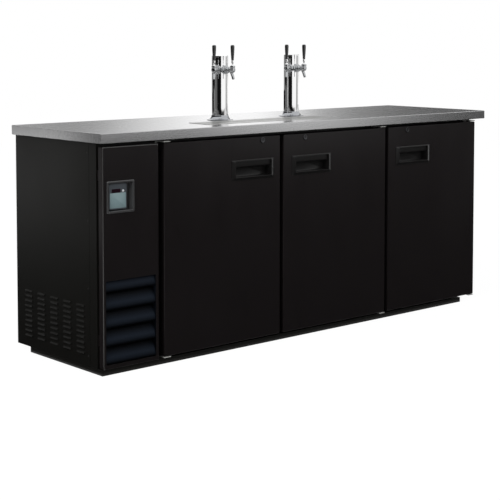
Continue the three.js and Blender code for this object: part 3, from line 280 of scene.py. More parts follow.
def sheet_section(centre: np.ndarray, gauge: float) -> np.ndarray:
    """Gives a line a thickness: each point moves half the gauge to both sides, square to the line.

    Args:
        centre: Rows of two coordinates along the middle of the sheet.
        gauge: The sheet's thickness.

    Returns:
        The closed outline.
    """
    heading = np.gradient(centre, axis=0)
    heading /= np.linalg.norm(heading, axis=1)[:, None]
    normal = np.column_stack([-heading[:, 1], heading[:, 0]])
    return np.concatenate([centre + normal * gauge / 2, (centre - normal * gauge / 2)[::-1]])


def drawn_along_x(outline: np.ndarray, left: float, right: float) -> Surface:
    """Pushes an outline of y and z from one x to another and closes both ends."""
    loops = [np.column_stack([np.full(len(outline), x), outline]) for x in (left, right)]
    return lofted(np.array(loops))


def tube_along(path: np.ndarray, radii: np.ndarray, sides: int = 24) -> Surface:
    """Carries a circle along a path in the YZ plane: at each point, centre + radius * (cos(a) * X +
    sin(a) * N), where N is square to the path's heading.

    Args:
        path: Rows of x, y, z.
        radii: The radius at each point.
        sides: How many steps the circle has.

    Returns:
        The closed surface.
    """
    heading = np.gradient(path, axis=0)
    heading /= np.linalg.norm(heading, axis=1)[:, None]
    across = np.array([1.0, 0.0, 0.0])
    normal = np.cross(heading, across)
    angle = np.linspace(0, FULL_TURN, sides, endpoint=False)
    circle = np.cos(angle)[None, :, None] * across + np.sin(angle)[None, :, None] * normal[:, None, :]
    return lofted(path[:, None, :] + radii[:, None, None] * circle)


# Shader node groups and finishes


class Effect(Enum):
    """The shared surface effects, each one shader node group."""

    PEEL = "powder coat peel"
    BRUSH = "brushed grain"
    HANDLING = "handling marks"
    SPANGLE = "zinc spangle"


def math_node(
    tree: bpy.types.ShaderNodeTree,
    operation: str,
    *values: float | bpy.types.NodeSocket,
) -> bpy.types.NodeSocket:
    """Adds a Math node.

    Args:
        tree: The nodes that it joins.
        operation: What it works out.
        values: A number or an output socket for each input.

    Returns:
        Its output socket.
    """
    node = tree.nodes.new("ShaderNodeMath")
    node.operation = operation
    for socket, value in zip(node.inputs, values, strict=False):
        if isinstance(value, bpy.types.NodeSocket):
            tree.links.new(value, socket)
        else:
            socket.default_value = value
    return node.outputs[0]


class Effects:
    """The shared node groups, each built once. Each puts out a value about zero, times its strength.

    Attributes:
        STRETCH: How much finer than its scale each noise is along x, y and z.
        DETAIL: How many octaves a noise has.
    """

    STRETCH = {
        Effect.PEEL: (1.0, 1.0, 1.0),
        Effect.BRUSH: (0.012, 1.0, 1.0),
        Effect.HANDLING: (1.0, 1.0, 0.45),
    }
    DETAIL = 3

    def __init__(self) -> None:
        """Builds every group."""
        self.groups = {effect: self.noise_group(effect) for effect in self.STRETCH}
        self.groups[Effect.SPANGLE] = self.spangle_group()

    @staticmethod
    def started(effect: Effect) -> tuple[bpy.types.ShaderNodeTree, bpy.types.Node, bpy.types.Node]:
        """Starts a group with a Scale, a Strength and a Value.

        Args:
            effect: Which effect the group is for.

        Returns:
            The group, its input node and its output node.
        """
        group = bpy.data.node_groups.new(effect.value, "ShaderNodeTree")
        for name, way in (("Scale", "INPUT"), ("Strength", "INPUT"), ("Value", "OUTPUT")):
            group.interface.new_socket(name, in_out=way, socket_type="NodeSocketFloat")
        return group, group.nodes.new("NodeGroupInput"), group.nodes.new("NodeGroupOutput")

    def noise_group(self, effect: Effect) -> bpy.types.ShaderNodeTree:
        """Builds a group of a noise on Object coordinates, stretched by a Mapping node.

        Args:
            effect: Which effect, and so which stretch.

        Returns:
            The group.
        """
        group, inside, outside = self.started(effect)
        place = group.nodes.new("ShaderNodeTexCoord")
        mapping = group.nodes.new("ShaderNodeMapping")
        mapping.inputs["Scale"].default_value = self.STRETCH[effect]
        texture = group.nodes.new("ShaderNodeTexNoise")
        texture.inputs["Detail"].default_value = self.DETAIL
        group.links.new(place.outputs["Object"], mapping.inputs["Vector"])
        group.links.new(mapping.outputs["Vector"], texture.inputs["Vector"])
        group.links.new(inside.outputs["Scale"], texture.inputs["Scale"])
        centred = math_node(group, "SUBTRACT", texture.outputs["Fac"], 0.5)
        scaled = math_node(group, "MULTIPLY", centred, inside.outputs["Strength"])
        group.links.new(scaled, outside.inputs["Value"])
        return group

    def spangle_group(self) -> bpy.types.ShaderNodeTree:
        """Builds a group with one value for each crystal of a zinc coat.

        Returns:
            The group.
        """
        group, inside, outside = self.started(Effect.SPANGLE)
        place = group.nodes.new("ShaderNodeTexCoord")
        cells = group.nodes.new("ShaderNodeTexVoronoi")
        split = group.nodes.new("ShaderNodeSeparateColor")
        group.links.new(place.outputs["Object"], cells.inputs["Vector"])
        group.links.new(inside.outputs["Scale"], cells.inputs["Scale"])
        group.links.new(cells.outputs["Color"], split.inputs["Color"])
        strength = inside.outputs["Strength"]
        half = math_node(group, "MULTIPLY", strength, -0.5)
        scaled = math_node(group, "MULTIPLY_ADD", split.outputs[0], strength, half)
        group.links.new(scaled, outside.inputs["Value"])
        return group


@dataclass(frozen=True)
class Layer:
    """One shared effect as a finish uses it.

    Attributes:
        effect: Which effect.
        scale: Its scale, in repeats for each metre.
        roughness: How far it moves the roughness.
        tone: How far it moves the colour, as a share.
        relief: The height of its bump, in metres.
    """

    effect: Effect
    scale: float
    roughness: float = 0.0
    tone: float = 0.0
    relief: float = 0.0


@dataclass(frozen=True)
class Finish:
    """What a surface is made of and how it is finished.

    Attributes:
        name: The material's name.
        slot: The record's material slot.
        color: Linear base colour.
        roughness: Middle roughness.
        metallic: 1 for bare metal.
        specular: Specular level of a painted or moulded surface.
        coat: Weight of a clear coat.
        layers: The effects that vary it.
        painted_shade_attribute: Name of a point attribute of painted shade that the colour is multiplied by,
            or nothing.
    """

    name: str
    slot: str
    color: tuple[float, float, float]
    roughness: float
    metallic: float = 0.0
    specular: float = 0.5
    coat: float = 0.0
    layers: tuple[Layer, ...] = ()
    painted_shade_attribute: str = ""

    def material(self, effects: Effects) -> bpy.types.Material:
        """Builds the finish's material from its own numbers and the shared groups.

        Args:
            effects: The shared node groups.

        Returns:
            The material.
        """
        material = bpy.data.materials.new(self.name)
        material.use_nodes = True
        tree = material.node_tree
        shader = tree.nodes["Principled BSDF"]
        shader.inputs["Base Color"].default_value = (*self.color, 1.0)
        shader.inputs["Roughness"].default_value = self.roughness
        shader.inputs["Metallic"].default_value = self.metallic
        shader.inputs["Specular IOR Level"].default_value = self.specular
        shader.inputs["Coat Weight"].default_value = self.coat
        shader.inputs["Coat Roughness"].default_value = COAT_ROUGHNESS
        values = [self.placed(tree, effects, layer) for layer in self.layers]
        self.roughen(tree, shader, values)
        self.tint(tree, shader, values)
        self.emboss(tree, shader, values)
        return material

    @staticmethod
    def placed(tree: bpy.types.ShaderNodeTree, effects: Effects, layer: Layer) -> bpy.types.NodeSocket:
        """Places a layer's group in the material.

        Args:
            tree: The material's nodes.
            effects: The shared node groups.
            layer: The layer.

        Returns:
            The group's output socket.
        """
        node = tree.nodes.new("ShaderNodeGroup")
        node.node_tree = effects.groups[layer.effect]
        node.inputs["Scale"].default_value = layer.scale
        node.inputs["Strength"].default_value = LAYER_STRENGTH
        return node.outputs["Value"]

    @staticmethod
    def weighed(
        tree: bpy.types.ShaderNodeTree,
        base: float,
        shares: Sequence[float],
        values: list[bpy.types.NodeSocket],
    ) -> bpy.types.NodeSocket | None:
        """Adds each value times its share to a base number.

        Args:
            tree: The material's nodes.
            base: The number to start from.
            shares: One factor for each value.
            values: The layers' output sockets.

        Returns:
            The socket of the sum, or None where every share is zero.
        """
        total = None
        for share, value in zip(shares, values, strict=True):
            if share:
                total = math_node(tree, "MULTIPLY_ADD", value, share, base if total is None else total)
        return total

    def roughen(self, tree: bpy.types.ShaderNodeTree, shader: bpy.types.Node, values: list) -> None:
        """Varies the roughness by the layers' shares of it.

        Args:
            tree: The material's nodes.
            shader: The shader node that they feed.
            values: The layers' output sockets.
        """
        total = self.weighed(tree, self.roughness, [layer.roughness for layer in self.layers], values)
        if total is not None:
            clamp = tree.nodes.new("ShaderNodeClamp")
            clamp.inputs["Min"].default_value = SMOOTHEST
            tree.links.new(total, clamp.inputs["Value"])
            tree.links.new(clamp.outputs["Result"], shader.inputs["Roughness"])

    def tint(self, tree: bpy.types.ShaderNodeTree, shader: bpy.types.Node, values: list) -> None:
        """Brightens and darkens the base colour with the layers' tones, and darkens it by the painted shade
        attribute.

        Args:
            tree: The material's nodes.
            shader: The shader node that they feed.
            values: The layers' output sockets.
        """
        total = self.weighed(tree, 1.0, [layer.tone for layer in self.layers], values)
        # A painted shade attribute darkens the colour point by point.
        if self.painted_shade_attribute:
            share = tree.nodes.new("ShaderNodeAttribute")
            share.attribute_name = self.painted_shade_attribute
            total = math_node(tree, "MULTIPLY", 1.0 if total is None else total, share.outputs["Fac"])
        if total is not None:
            scaled = tree.nodes.new("ShaderNodeVectorMath")
            scaled.operation = "SCALE"
            scaled.inputs[0].default_value = self.color
            tree.links.new(total, scaled.inputs["Scale"])
            tree.links.new(scaled.outputs[0], shader.inputs["Base Color"])

    def emboss(self, tree: bpy.types.ShaderNodeTree, shader: bpy.types.Node, values: list) -> None:
        """Feeds the layers' reliefs through one bump to the shader's normal.

        Args:
            tree: The material's nodes.
            shader: The shader node that they feed.
            values: The layers' output sockets.
        """
        total = self.weighed(tree, 0.0, [layer.relief for layer in self.layers], values)
        if total is not None:
            bump = tree.nodes.new("ShaderNodeBump")
            bump.inputs["Distance"].default_value = 1.0
            bump.inputs["Strength"].default_value = 1.0
            tree.links.new(total, bump.inputs["Height"])
            tree.links.new(bump.outputs["Normal"], shader.inputs["Normal"])


POWDER_PEEL = Layer(Effect.PEEL, 900, roughness=0.03, relief=0.000012)
SOFT_MARKS = Layer(Effect.HANDLING, 7, roughness=0.05, tone=0.12)


class Finishes:
    """Every finish of the cooler."""

    BLACK_PAINT = Finish(
        "black powder coat",
        "black_paint",
        (0.0094, 0.0077, 0.0080),
        0.3,
        specular=0.28,
        layers=(POWDER_PEEL, SOFT_MARKS),
    )
    # A lighter copy of the black powder coat for the roundings of the doors and the cover: a painted
    # highlight along their edges.
    EDGE_HIGHLIGHT_PAINT = Finish(
        "black powder coat with a painted edge highlight",
        "black_paint",
        (0.030, 0.029, 0.028),
        0.26,
        specular=0.7,
        layers=(Layer(Effect.PEEL, 900, roughness=0.03),),
    )
    # A darker copy of the black powder coat for the side panel, the plinth and the machine frame: painted
    # shade.
    SHADED_SIDE_PAINT = Finish(
        "black powder coat of the side, darkened as painted shade",
        "black_paint",
        (0.0068, 0.0066, 0.0058),
        0.36,
        specular=0.14,
        layers=(POWDER_PEEL, SOFT_MARKS),
    )
    TRIM = Finish(
        "satin black moulding",
        "black_trim",
        (0.0085, 0.0080, 0.0080),
        0.3,
        specular=0.34,
        layers=(Layer(Effect.PEEL, 2600, roughness=0.03, relief=0.000004), SOFT_MARKS),
    )
    # Its blue-grey colour is multiplied by the painted blade shade: painted shade between the blades and a
    # painted sheen on them.
    DARK_SHEET = Finish(
        "dark painted sheet",
        "dark_sheet",
        (0.0130, 0.0175, 0.0260),
        0.45,
        specular=0.05,
        layers=(POWDER_PEEL, SOFT_MARKS),
        painted_shade_attribute="painted_blade_shade",
    )
    STAINLESS = Finish(
        "brushed stainless steel",
        "stainless",
        (0.62, 0.62, 0.625),
        0.27,
        metallic=1.0,
        layers=(
            Layer(Effect.BRUSH, 1500, roughness=0.02, tone=0.018, relief=0.0000004),
            Layer(Effect.HANDLING, 5, roughness=0.015, tone=0.015),
        ),
    )
    # A brighter copy of the brushed stainless steel for the worktop's roundings: a painted highlight along
    # its edges and corners.
    STEEL_EDGE_HIGHLIGHT = Finish(
        "stainless steel with a painted edge highlight",
        "stainless",
        (0.80, 0.80, 0.80),
        0.2,
        metallic=1.0,
        layers=(Layer(Effect.BRUSH, 900, roughness=0.04, tone=0.03),),
    )
    TRAY_STEEL = Finish(
        "satin stainless steel",
        "stainless",
        (0.50, 0.50, 0.49),
        0.36,
        metallic=0.7,
        layers=(Layer(Effect.BRUSH, 1200, roughness=0.06, tone=0.08, relief=0.000004),),
    )
    # Chrome plate that is darker than the columns' chrome: partly the plate's own tone and partly painted
    # shade on the faucets.
    SHADED_FAUCET_CHROME = Finish(
        "chrome plated brass, darkened as painted shade",
        "chrome",
        (0.47, 0.48, 0.49),
        0.1,
        metallic=1.0,
        layers=(Layer(Effect.HANDLING, 60, roughness=0.04, tone=0.04),),
    )
    FLANGE_STEEL = Finish(
        "spun flange steel",
        "chrome",
        (0.42, 0.43, 0.45),
        0.08,
        metallic=1.0,
        layers=(Layer(Effect.HANDLING, 60, roughness=0.05, tone=0.05),),
    )
    ZINC_PLATE = Finish(
        "bright zinc plate",
        "galvanised",
        (0.50, 0.50, 0.48),
        0.45,
        metallic=0.35,
        layers=(Layer(Effect.HANDLING, 120, roughness=0.06, tone=0.1),),
    )
    LOCK_NICKEL = Finish(
        "dark nickel",
        "chrome",
        (0.085, 0.085, 0.09),
        0.24,
        metallic=1.0,
        layers=(Layer(Effect.HANDLING, 90, roughness=0.06, tone=0.08),),
    )
    WINDOW_TRIM = Finish(
        "satin grey-black moulding",
        "black_trim",
        (0.042, 0.042, 0.043),
        0.22,
        specular=1.0,
        layers=(Layer(Effect.PEEL, 2600, roughness=0.03, relief=0.000003), SOFT_MARKS),
    )
    CONTROL_PLATE = Finish(
        "grey-green plate",
        "controller_plastic",
        (0.19, 0.27, 0.285),
        0.3,
        layers=(Layer(Effect.HANDLING, 30, roughness=0.05, tone=0.06),),
    )
    CHROME = Finish(
        "polished chrome",
        "chrome",
        (0.93, 0.93, 0.93),
        0.04,
        metallic=1.0,
        layers=(Layer(Effect.HANDLING, 40, roughness=0.03, tone=0.02),),
    )
    GALVANISED = Finish(
        "zinc coated sheet",
        "galvanised",
        (0.40, 0.42, 0.43),
        0.45,
        metallic=1.0,
        layers=(
            Layer(Effect.SPANGLE, 110, roughness=0.12, tone=0.2),
            Layer(Effect.PEEL, 900, relief=0.000008),
        ),
    )
    LINER = Finish(
        "satin liner sheet",
        "liner_sheet",
        (0.55, 0.56, 0.57),
        0.38,
        metallic=1.0,
        layers=(
            Layer(Effect.PEEL, 240, roughness=0.05, relief=0.00003),
            Layer(Effect.HANDLING, 6, tone=0.08),
        ),
    )
    GASKET = Finish(
        "gasket rubber",
        "gasket_rubber",
        (0.018, 0.018, 0.019),
        0.62,
        specular=0.35,
        layers=(Layer(Effect.PEEL, 1400, roughness=0.06, tone=0.1, relief=0.00001),),
    )
    TAP_HANDLE = Finish(
        "gloss black tap handle",
        "handle_plastic",
        (0.018, 0.018, 0.018),
        0.16,
        specular=0.5,
        coat=0.4,
        layers=(Layer(Effect.HANDLING, 60, roughness=0.05),),
    )
    CONTROLLER = Finish(
        "pale moulded plastic",
        "controller_plastic",
        (0.055, 0.064, 0.074),
        0.42,
        layers=(
            Layer(Effect.PEEL, 3000, roughness=0.04, relief=0.000006),
            Layer(Effect.HANDLING, 30, tone=0.06),
        ),
    )
    DISPLAY = Finish(
        "dark red display window",
        "controller_plastic",
        (0.014, 0.005, 0.009),
        0.12,
        coat=0.5,
        layers=(Layer(Effect.HANDLING, 80, roughness=0.04),),
    )
    BUTTON = Finish(
        "light grey button",
        "button_plastic",
        (0.70, 0.72, 0.74),
        0.35,
        layers=(Layer(Effect.PEEL, 3000, roughness=0.04, relief=0.000004),),
    )
    ALUMINIUM = Finish(
        "mill aluminium",
        "aluminium",
        (0.62, 0.63, 0.64),
        0.36,
        metallic=1.0,
        layers=(Layer(Effect.BRUSH, 900, roughness=0.08, tone=0.08, relief=0.000006),),
    )
    ENAMEL = Finish(
        "black compressor enamel",
        "compressor_paint",
        (0.008, 0.008, 0.009),
        0.22,
        specular=0.5,
        coat=0.3,
        layers=(Layer(Effect.PEEL, 260, roughness=0.05, relief=0.00003),),
    )
    SCREW = Finish(
        "plated screw",
        "galvanised",
        (0.50, 0.50, 0.49),
        0.3,
        metallic=1.0,
        layers=(Layer(Effect.HANDLING, 200, roughness=0.08, tone=0.1),),
    )
    BLACK_SCREW = Finish(
        "black screw",
        "black_paint",
        (0.012, 0.012, 0.012),
        0.3,
        specular=0.5,
        layers=(Layer(Effect.HANDLING, 200, roughness=0.08),),
    )


# The frame and the pieces made around it


def mesh_of(name: str, surface: Surface) -> bpy.types.Mesh:
    """Makes a mesh of a surface, with its seams and poles closed and its faces turned outwards.

    Args:
        name: The mesh's name.
        surface: The surface.

    Returns:
        The new mesh.
    """
    mesh = bpy.data.meshes.new(name)
    mesh.from_pydata(surface.points.tolist(), [], surface.faces)
    work = bmesh.new()
    work.from_mesh(mesh)
    bmesh.ops.remove_doubles(work, verts=work.verts, dist=WELD)
    bmesh.ops.recalc_face_normals(work, faces=work.faces)
    work.to_mesh(mesh)
    work.free()
    return mesh


def points_of(mesh: bpy.types.Mesh) -> np.ndarray:
    """Reads a mesh's points.

    Args:
        mesh: The mesh.

    Returns:
        Rows of x, y, z.
    """
    points = np.empty(len(mesh.vertices) * 3)
    mesh.vertices.foreach_get("co", points)
    return points.reshape(-1, 3)


class Workshop:
    """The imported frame, and the calls that add a finished piece to it.

    Attributes:
        nodes: The frame's objects by name.
        joints: The frame's joints by name.
        slots: The record's material slot of each node.
        effects: The shared node groups.
        materials: The materials built so far, by name.
    """

    def __init__(self, frame: dict) -> None:
        """Reads what the classes below ask of the frame.

        Args:
            frame: The frame as it was loaded.
        """
        self.nodes = frame["nodes"]
        self.joints = {joint["name"]: joint for joint in frame["joints"]}
        self.slots = {part["node"]: part["material_slot"] for part in frame["record"]["subparts"]}
        self.effects = Effects()
        self.materials: dict[str, bpy.types.Material] = {}

    def box(self, node: str) -> np.ndarray:
        """Returns a node's lowest and highest corner as two rows."""
        return np.array([list(corner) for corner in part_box(node)])

    def middle(self, node: str, plane: float) -> tuple[float, float, float]:
        """Returns the middle of a node's front view, at a given y."""
        low, high = self.box(node)
        return (low[0] + high[0]) / 2, plane, (low[2] + high[2]) / 2

    def material(self, finish: Finish) -> bpy.types.Material:
        """Builds a finish's material the first time it is asked for.

        Args:
            finish: The finish.

        Returns:
            The finish's one material.
        """
        if finish.name not in self.materials:
            self.materials[finish.name] = finish.material(self.effects)
        return self.materials[finish.name]

    def add(
        self,
        name: str,
        surface: Surface,
        finish: Finish,
        rides_with: str,
        stands_for: Sequence[str] = (),
    ) -> bpy.types.Object:
        """Makes a piece from a surface and puts it on its body.

        Args:
            name: The piece's name.
            surface: Its skin.
            finish: Its finish.
            rides_with: A node on the body that carries it.
            stands_for: The nodes that it replaces.

        Returns:
            The new object.
        """
        mesh = mesh_of(name, surface)
        piece = self.finished(name, mesh, finish, rides_with, stands_for)
        mesh.set_sharp_from_angle(angle=CREASE)
        return piece

    def replace(self, node: str, surface: Surface, finish: Finish) -> bpy.types.Object:
        """Makes a piece from a surface in place of a node."""
        return self.add(f"{node}_skin", surface, finish, node, [node])

    def soften(
        self,
        node: str,
        finish: Finish,
        width: float,
        segments: int = 2,
        rim: float = 0.0,
        edge: Finish | None = None,
    ) -> None:
        """Replaces a node with a merged copy whose sharp edges are rounded.

        Args:
            node: The node.
            finish: Its finish.
            width: How far the rounding reaches from each edge, in millimetres.
            segments: How many steps the rounding has.
            rim: A wider rounding for the outline of the node's front, in millimetres.
            edge: A lighter finish of the roundings, a painted highlight on them, where it differs.
        """
        mesh = self.merged_copy(node)
        piece = self.finished(f"{node}_skin", mesh, finish, node, [node])
        if edge:
            mesh.materials.append(self.material(edge))
        if rim:
            self.weigh_front_outline(mesh)
            front = piece.modifiers.new("rounded front", "BEVEL")
            front.width = rim * MM
            front.segments = 4
            front.limit_method = "WEIGHT"
            front.use_clamp_overlap = False
            # The wide front rounding takes the lighter edge finish: a painted highlight.
            front.material = 1 if edge else -1
        bevel = piece.modifiers.new("rounded edges", "BEVEL")
        bevel.width = width * MM
        bevel.segments = segments
        bevel.limit_method = "ANGLE"
        bevel.angle_limit = CORNER
        # Without a rim, the roundings take the lighter edge finish: a painted highlight.
        bevel.material = 1 if edge and not rim else -1
        normals = piece.modifiers.new("flat faces stay flat", "WEIGHTED_NORMAL")
        normals.weight = 100
        normals.keep_sharp = True

    def merged_copy(self, node: str) -> bpy.types.Mesh:
        """Copies a node's points and faces, with flat neighbours merged into one face.

        Args:
            node: The node.

        Returns:
            The copy's mesh.
        """
        work = bmesh.new()
        work.from_mesh(self.nodes[node].data)
        bmesh.ops.remove_doubles(work, verts=work.verts, dist=WELD)
        bmesh.ops.dissolve_limit(work, angle_limit=FLAT, verts=work.verts, edges=work.edges)
        mesh = bpy.data.meshes.new(f"{node}_skin")
        work.to_mesh(mesh)
        work.free()
        for name in [layer.name for layer in mesh.attributes if not layer.is_required]:
            mesh.attributes.remove(mesh.attributes[name])
        return mesh

    @staticmethod
    def weigh_front_outline(mesh: bpy.types.Mesh) -> None:
        """Gives the front plane's left and top edges a bevel weight of 1.

        An edge counts when both its ends are within a twentieth of a millimetre of the front plane and
        within 4 mm of the outline.

        Args:
            mesh: The mesh.
        """
        points = points_of(mesh)
        ends = np.empty(len(mesh.edges) * 2, dtype=int)
        mesh.edges.foreach_get("vertices", ends)
        ends = points[ends.reshape(-1, 2)]
        low, high = points.min(axis=0), points.max(axis=0)
        front = (abs(ends[..., 1] - low[1]) < 0.05 * MM).all(axis=1)
        outer = np.zeros(len(ends), dtype=bool)
        for axis, plane in ((0, low[0]), (2, high[2])):
            outer |= (abs(ends[..., axis] - plane) < 4 * MM).all(axis=1)
        weights = (front & outer).astype(float)
        mesh.attributes.new("bevel_weight_edge", "FLOAT", "EDGE").data.foreach_set("value", weights)

    def finished(
        self,
        name: str,
        mesh: bpy.types.Mesh,
        finish: Finish,
        rides_with: str,
        stands_for: Sequence[str],
    ) -> bpy.types.Object:
        """Puts a mesh in the scene with its finish and its body.

        Args:
            name: The piece's name.
            mesh: Its mesh.
            finish: Its finish.
            rides_with: A node on the body that carries it.
            stands_for: The nodes that it replaces.

        Returns:
            The new object.
        """
        mesh.shade_smooth()
        mesh.materials.append(self.material(finish))
        piece = bpy.data.objects.new(name, mesh)
        bpy.context.scene.collection.objects.link(piece)
        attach(piece, self.nodes[rides_with]["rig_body"])
        if stands_for:
            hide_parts(*stands_for)
        LOG.info("%s: %d faces", name, len(mesh.polygons))
        return piece


def carve(piece: bpy.types.Object, tool: Surface) -> None:
    """Cuts a closed surface out of a piece with a boolean and keeps the result as its mesh.

    Args:
        piece: The piece that is cut.
        tool: The closed surface.
    """
    cutter = bpy.data.objects.new("tool", mesh_of("tool", tool))
    bpy.context.scene.collection.objects.link(cutter)
    cut = piece.modifiers.new("cut", "BOOLEAN")
    cut.operation = "DIFFERENCE"
    cut.solver = "EXACT"
    cut.object = cutter
    graph = bpy.context.evaluated_depsgraph_get()
    carved = bpy.data.meshes.new_from_object(piece.evaluated_get(graph))
    piece.modifiers.remove(cut)
    piece.data = carved
    carved.set_sharp_from_angle(angle=CARVED_CREASE)
    bpy.data.objects.remove(cutter)


# Sub-assemblies


@dataclass
class Screw:
    """A pan-head screw with a round recess.

    Attributes:
        radius: Head radius, in millimetres.
        height: How far the head stands out.
    """

    radius: float = 3.6
    height: float = 1.6

    def head(self, place: Sequence[float], facing: Sequence[float]) -> Surface:
        """Builds the head, domed over its rim, standing on a surface.

        Args:
            place: Where its seat is.
            facing: The unit vector that it faces along.

        Returns:
            The head's surface.
        """
        profile = rounded_line([
            (0, -0.4, 0),
            (self.radius, -0.4, 0),
            (self.radius, self.height * 0.5, 0.6),
            (self.radius * 0.6, self.height, 1.0),
            (self.radius * 0.28, self.height, 0.2),
            (self.radius * 0.2, self.height * 0.35, 0),
            (0, self.height * 0.35, 0),
        ])
        up = Vector(facing)
        across = up.orthogonal().normalized()
        along = up.cross(across)
        return turned(profile, 20).turned_to(across, along, up).moved(place)


@dataclass
class Faucet:
    """A beer faucet about its tower's axis, which points along -Y before it is turned to its place.

    Attributes hold its sizes in millimetres, from the tower's axis and from the shank's own height. The
    reach is the frame's own once build has read it.
    """

    number: int
    collar_radius: float = 19.4
    collar_back: float = 30.0
    collar_face: float = 40.5
    collar_cone: float = 2.4
    nut_radius: float = 14.9
    nut_back: float = 40.0
    nut_end: float = 55.0
    nut_slots: int = 9
    slot_depth: float = 1.1
    slot_start: float = 5.0
    slot_fade: float = 2.0
    joint: float = 0.3
    waist_radius: float = 9.4
    barrel_radius: float = 12.4
    barrel_lip: float = 2.0
    waist_start: float = 6.0
    waist_end: float = 11.0
    barrel_start: float = 18.0
    nose: float = 5.0
    bonnet_radius: float = 11.4
    bonnet_rise: float = 19.0
    bonnet_groove: float = 0.9
    ball_radius: float = 6.9
    ball_drop: float = 1.0
    stem_radius: float = 3.3
    ferrule_radius: float = 5.2
    ferrule_groove: float = 0.7
    ferrule_start: float = 13.0
    ferrule_joint: float = 21.0
    handle_top: float = 8.7
    handle_base: float = 5.6
    handle_start: float = 24.0
    handle_end: float = 90.0
    handle_curve: float = 1.3
    dome: float = 6.0
    dome_reach: float = 5.0
    spout_radius: float = 6.9
    spout_tip: float = 5.9
    spout_wall: float = 1.5
    spout_drop: float = 39.6
    spout_out: float = 6.0
    reach: float = 86.0

    def build(self, shop: Workshop, tower_axis: np.ndarray) -> None:
        """Makes the shank, the body, the lever and the handle.

        Args:
            shop: The workshop.
            tower_axis: The x and y of the tower's axis.
        """
        name = f"faucet_{self.number}"
        pivot = np.array(shop.joints[f"{name}_pull"]["pos_m"])
        outward = pivot[:2] - tower_axis
        self.reach = float(np.linalg.norm(outward)) / MM
        outward /= np.linalg.norm(outward)
        across = (-outward[1], outward[0], 0.0)
        inward = (-outward[0], -outward[1], 0.0)
        centre = (*tower_axis, pivot[2] - self.pivot_height * MM)
        parts = (
            # The shank and the body take the darker chrome, which is partly painted shade.
            ("shank", self.shank(), Finishes.SHADED_FAUCET_CHROME),
            ("body", self.body(), Finishes.SHADED_FAUCET_CHROME),
            ("lever", self.lever(), Finishes.CHROME),
            ("handle", self.handle(), Finishes.TAP_HANDLE),
        )
        for part, surface, finish in parts:
            shop.replace(f"{name}_{part}", surface.turned_to(across, inward, (0, 0, 1)).moved(centre), finish)

    @property
    def pivot_height(self) -> float:
        """How far the ball's centre is above the shank's axis."""
        return self.bonnet_rise - self.ball_drop

    def at_reach(self, surface: Surface) -> Surface:
        """Moves an upright piece from the tower's axis out to the ball's."""
        return surface.moved((0, -self.reach * MM, 0))

    def shank(self) -> Surface:
        """Builds the collar and the slotted nut.

        The nut's radius drops in each slot by the eighth power of a cosine, which fades out to the collar.

        Returns:
            The surface, about the tower's axis.
        """
        collar_end = self.collar_face + self.collar_cone
        collar = turned(rounded_line([
            (0, self.collar_back, 0),
            (self.collar_radius, self.collar_back, 0),
            (self.collar_radius, self.collar_face, 1.6),
            (self.nut_radius - 1, collar_end, 0.8),
            (0, collar_end, 0),
        ]), 72)
        profile = rounded_line([
            (0, self.nut_back, 0),
            (self.nut_radius, self.nut_back, 0),
            (self.nut_radius, self.nut_end, 1.4),
            (0, self.nut_end, 0),
        ])
        angle = np.linspace(0, FULL_TURN, 144, endpoint=False)
        slot = np.clip(np.cos(self.nut_slots * angle), 0, 1) ** 8
        first_slot = self.collar_face + self.slot_start
        grip = np.clip((profile[:, 1] / MM - first_slot) / self.slot_fade, 0, 1) * (profile[:, 0] > 0)
        radius = profile[:, 0, None] - self.slot_depth * MM * slot * grip[:, None]
        return collar.with_more(lofted(revolved(radius, profile[:, 1, None], angle))).forward()

    def body(self) -> Surface:
        """Builds the waisted barrel, the bonnet with its socket and the curved spout with its mouth.

        Returns:
            The surface, about the tower's axis.
        """
        start = self.nut_end + self.joint
        front = self.reach + self.bonnet_radius - 1
        barrel = turned(rounded_line([
            (0, start, 0),
            (self.barrel_radius, start, 0),
            (self.barrel_radius, start + self.barrel_lip, 0.8),
            (self.waist_radius, start + self.waist_start, 2.5),
            (self.waist_radius, start + self.waist_end, 2.5),
            (self.barrel_radius, start + self.barrel_start, 3),
            (self.barrel_radius, front - self.nose, 4.5),
            (self.barrel_radius * 0.5, front, 2),
            (0, front, 0),
        ]), 56).forward()
        rise = self.bonnet_rise
        groove = self.bonnet_radius - self.bonnet_groove
        socket = self.ball_radius + self.joint
        socket_floor = self.pivot_height - self.ball_radius
        bonnet = turned(rounded_line([
            (0, -4, 0),
            (self.bonnet_radius, -4, 0),
            (self.bonnet_radius, rise * 0.45, 0.4),
            (groove, rise * 0.5, 0.4),
            (groove, rise * 0.58, 0.4),
            (self.bonnet_radius, rise * 0.63, 0.4),
            (self.bonnet_radius, rise - 0.6, 1.4),
            (self.ball_radius + 1.4, rise, 0.5),
            (socket, self.pivot_height, 0.3),
            (socket, socket_floor, 0),
            (0, socket_floor, 0),
        ]), 56)
        return barrel.with_more(self.at_reach(bonnet), self.at_reach(self.spout()))

    def spout(self) -> Surface:
        """Builds the spout: a tapering tube along a quadratic curve, hollow over its last six points.

        Returns:
            The spout, with the bonnet's axis at the origin.
        """
        share = np.linspace(0, 1, 14)[:, None]
        pull = (0, 0, -self.spout_drop / 2)
        tip = (0, -self.spout_out, -self.spout_drop)
        path = bend(*(np.array([(0, 14, -2), pull, tip]) * MM), share)
        radii = self.spout_radius + (self.spout_tip - self.spout_radius) * share[:, 0]
        bore = np.full(6, self.spout_tip - self.spout_wall)
        return self.hollow_end(tube_along(path, radii * MM), tube_along(path[-6:], bore * MM))

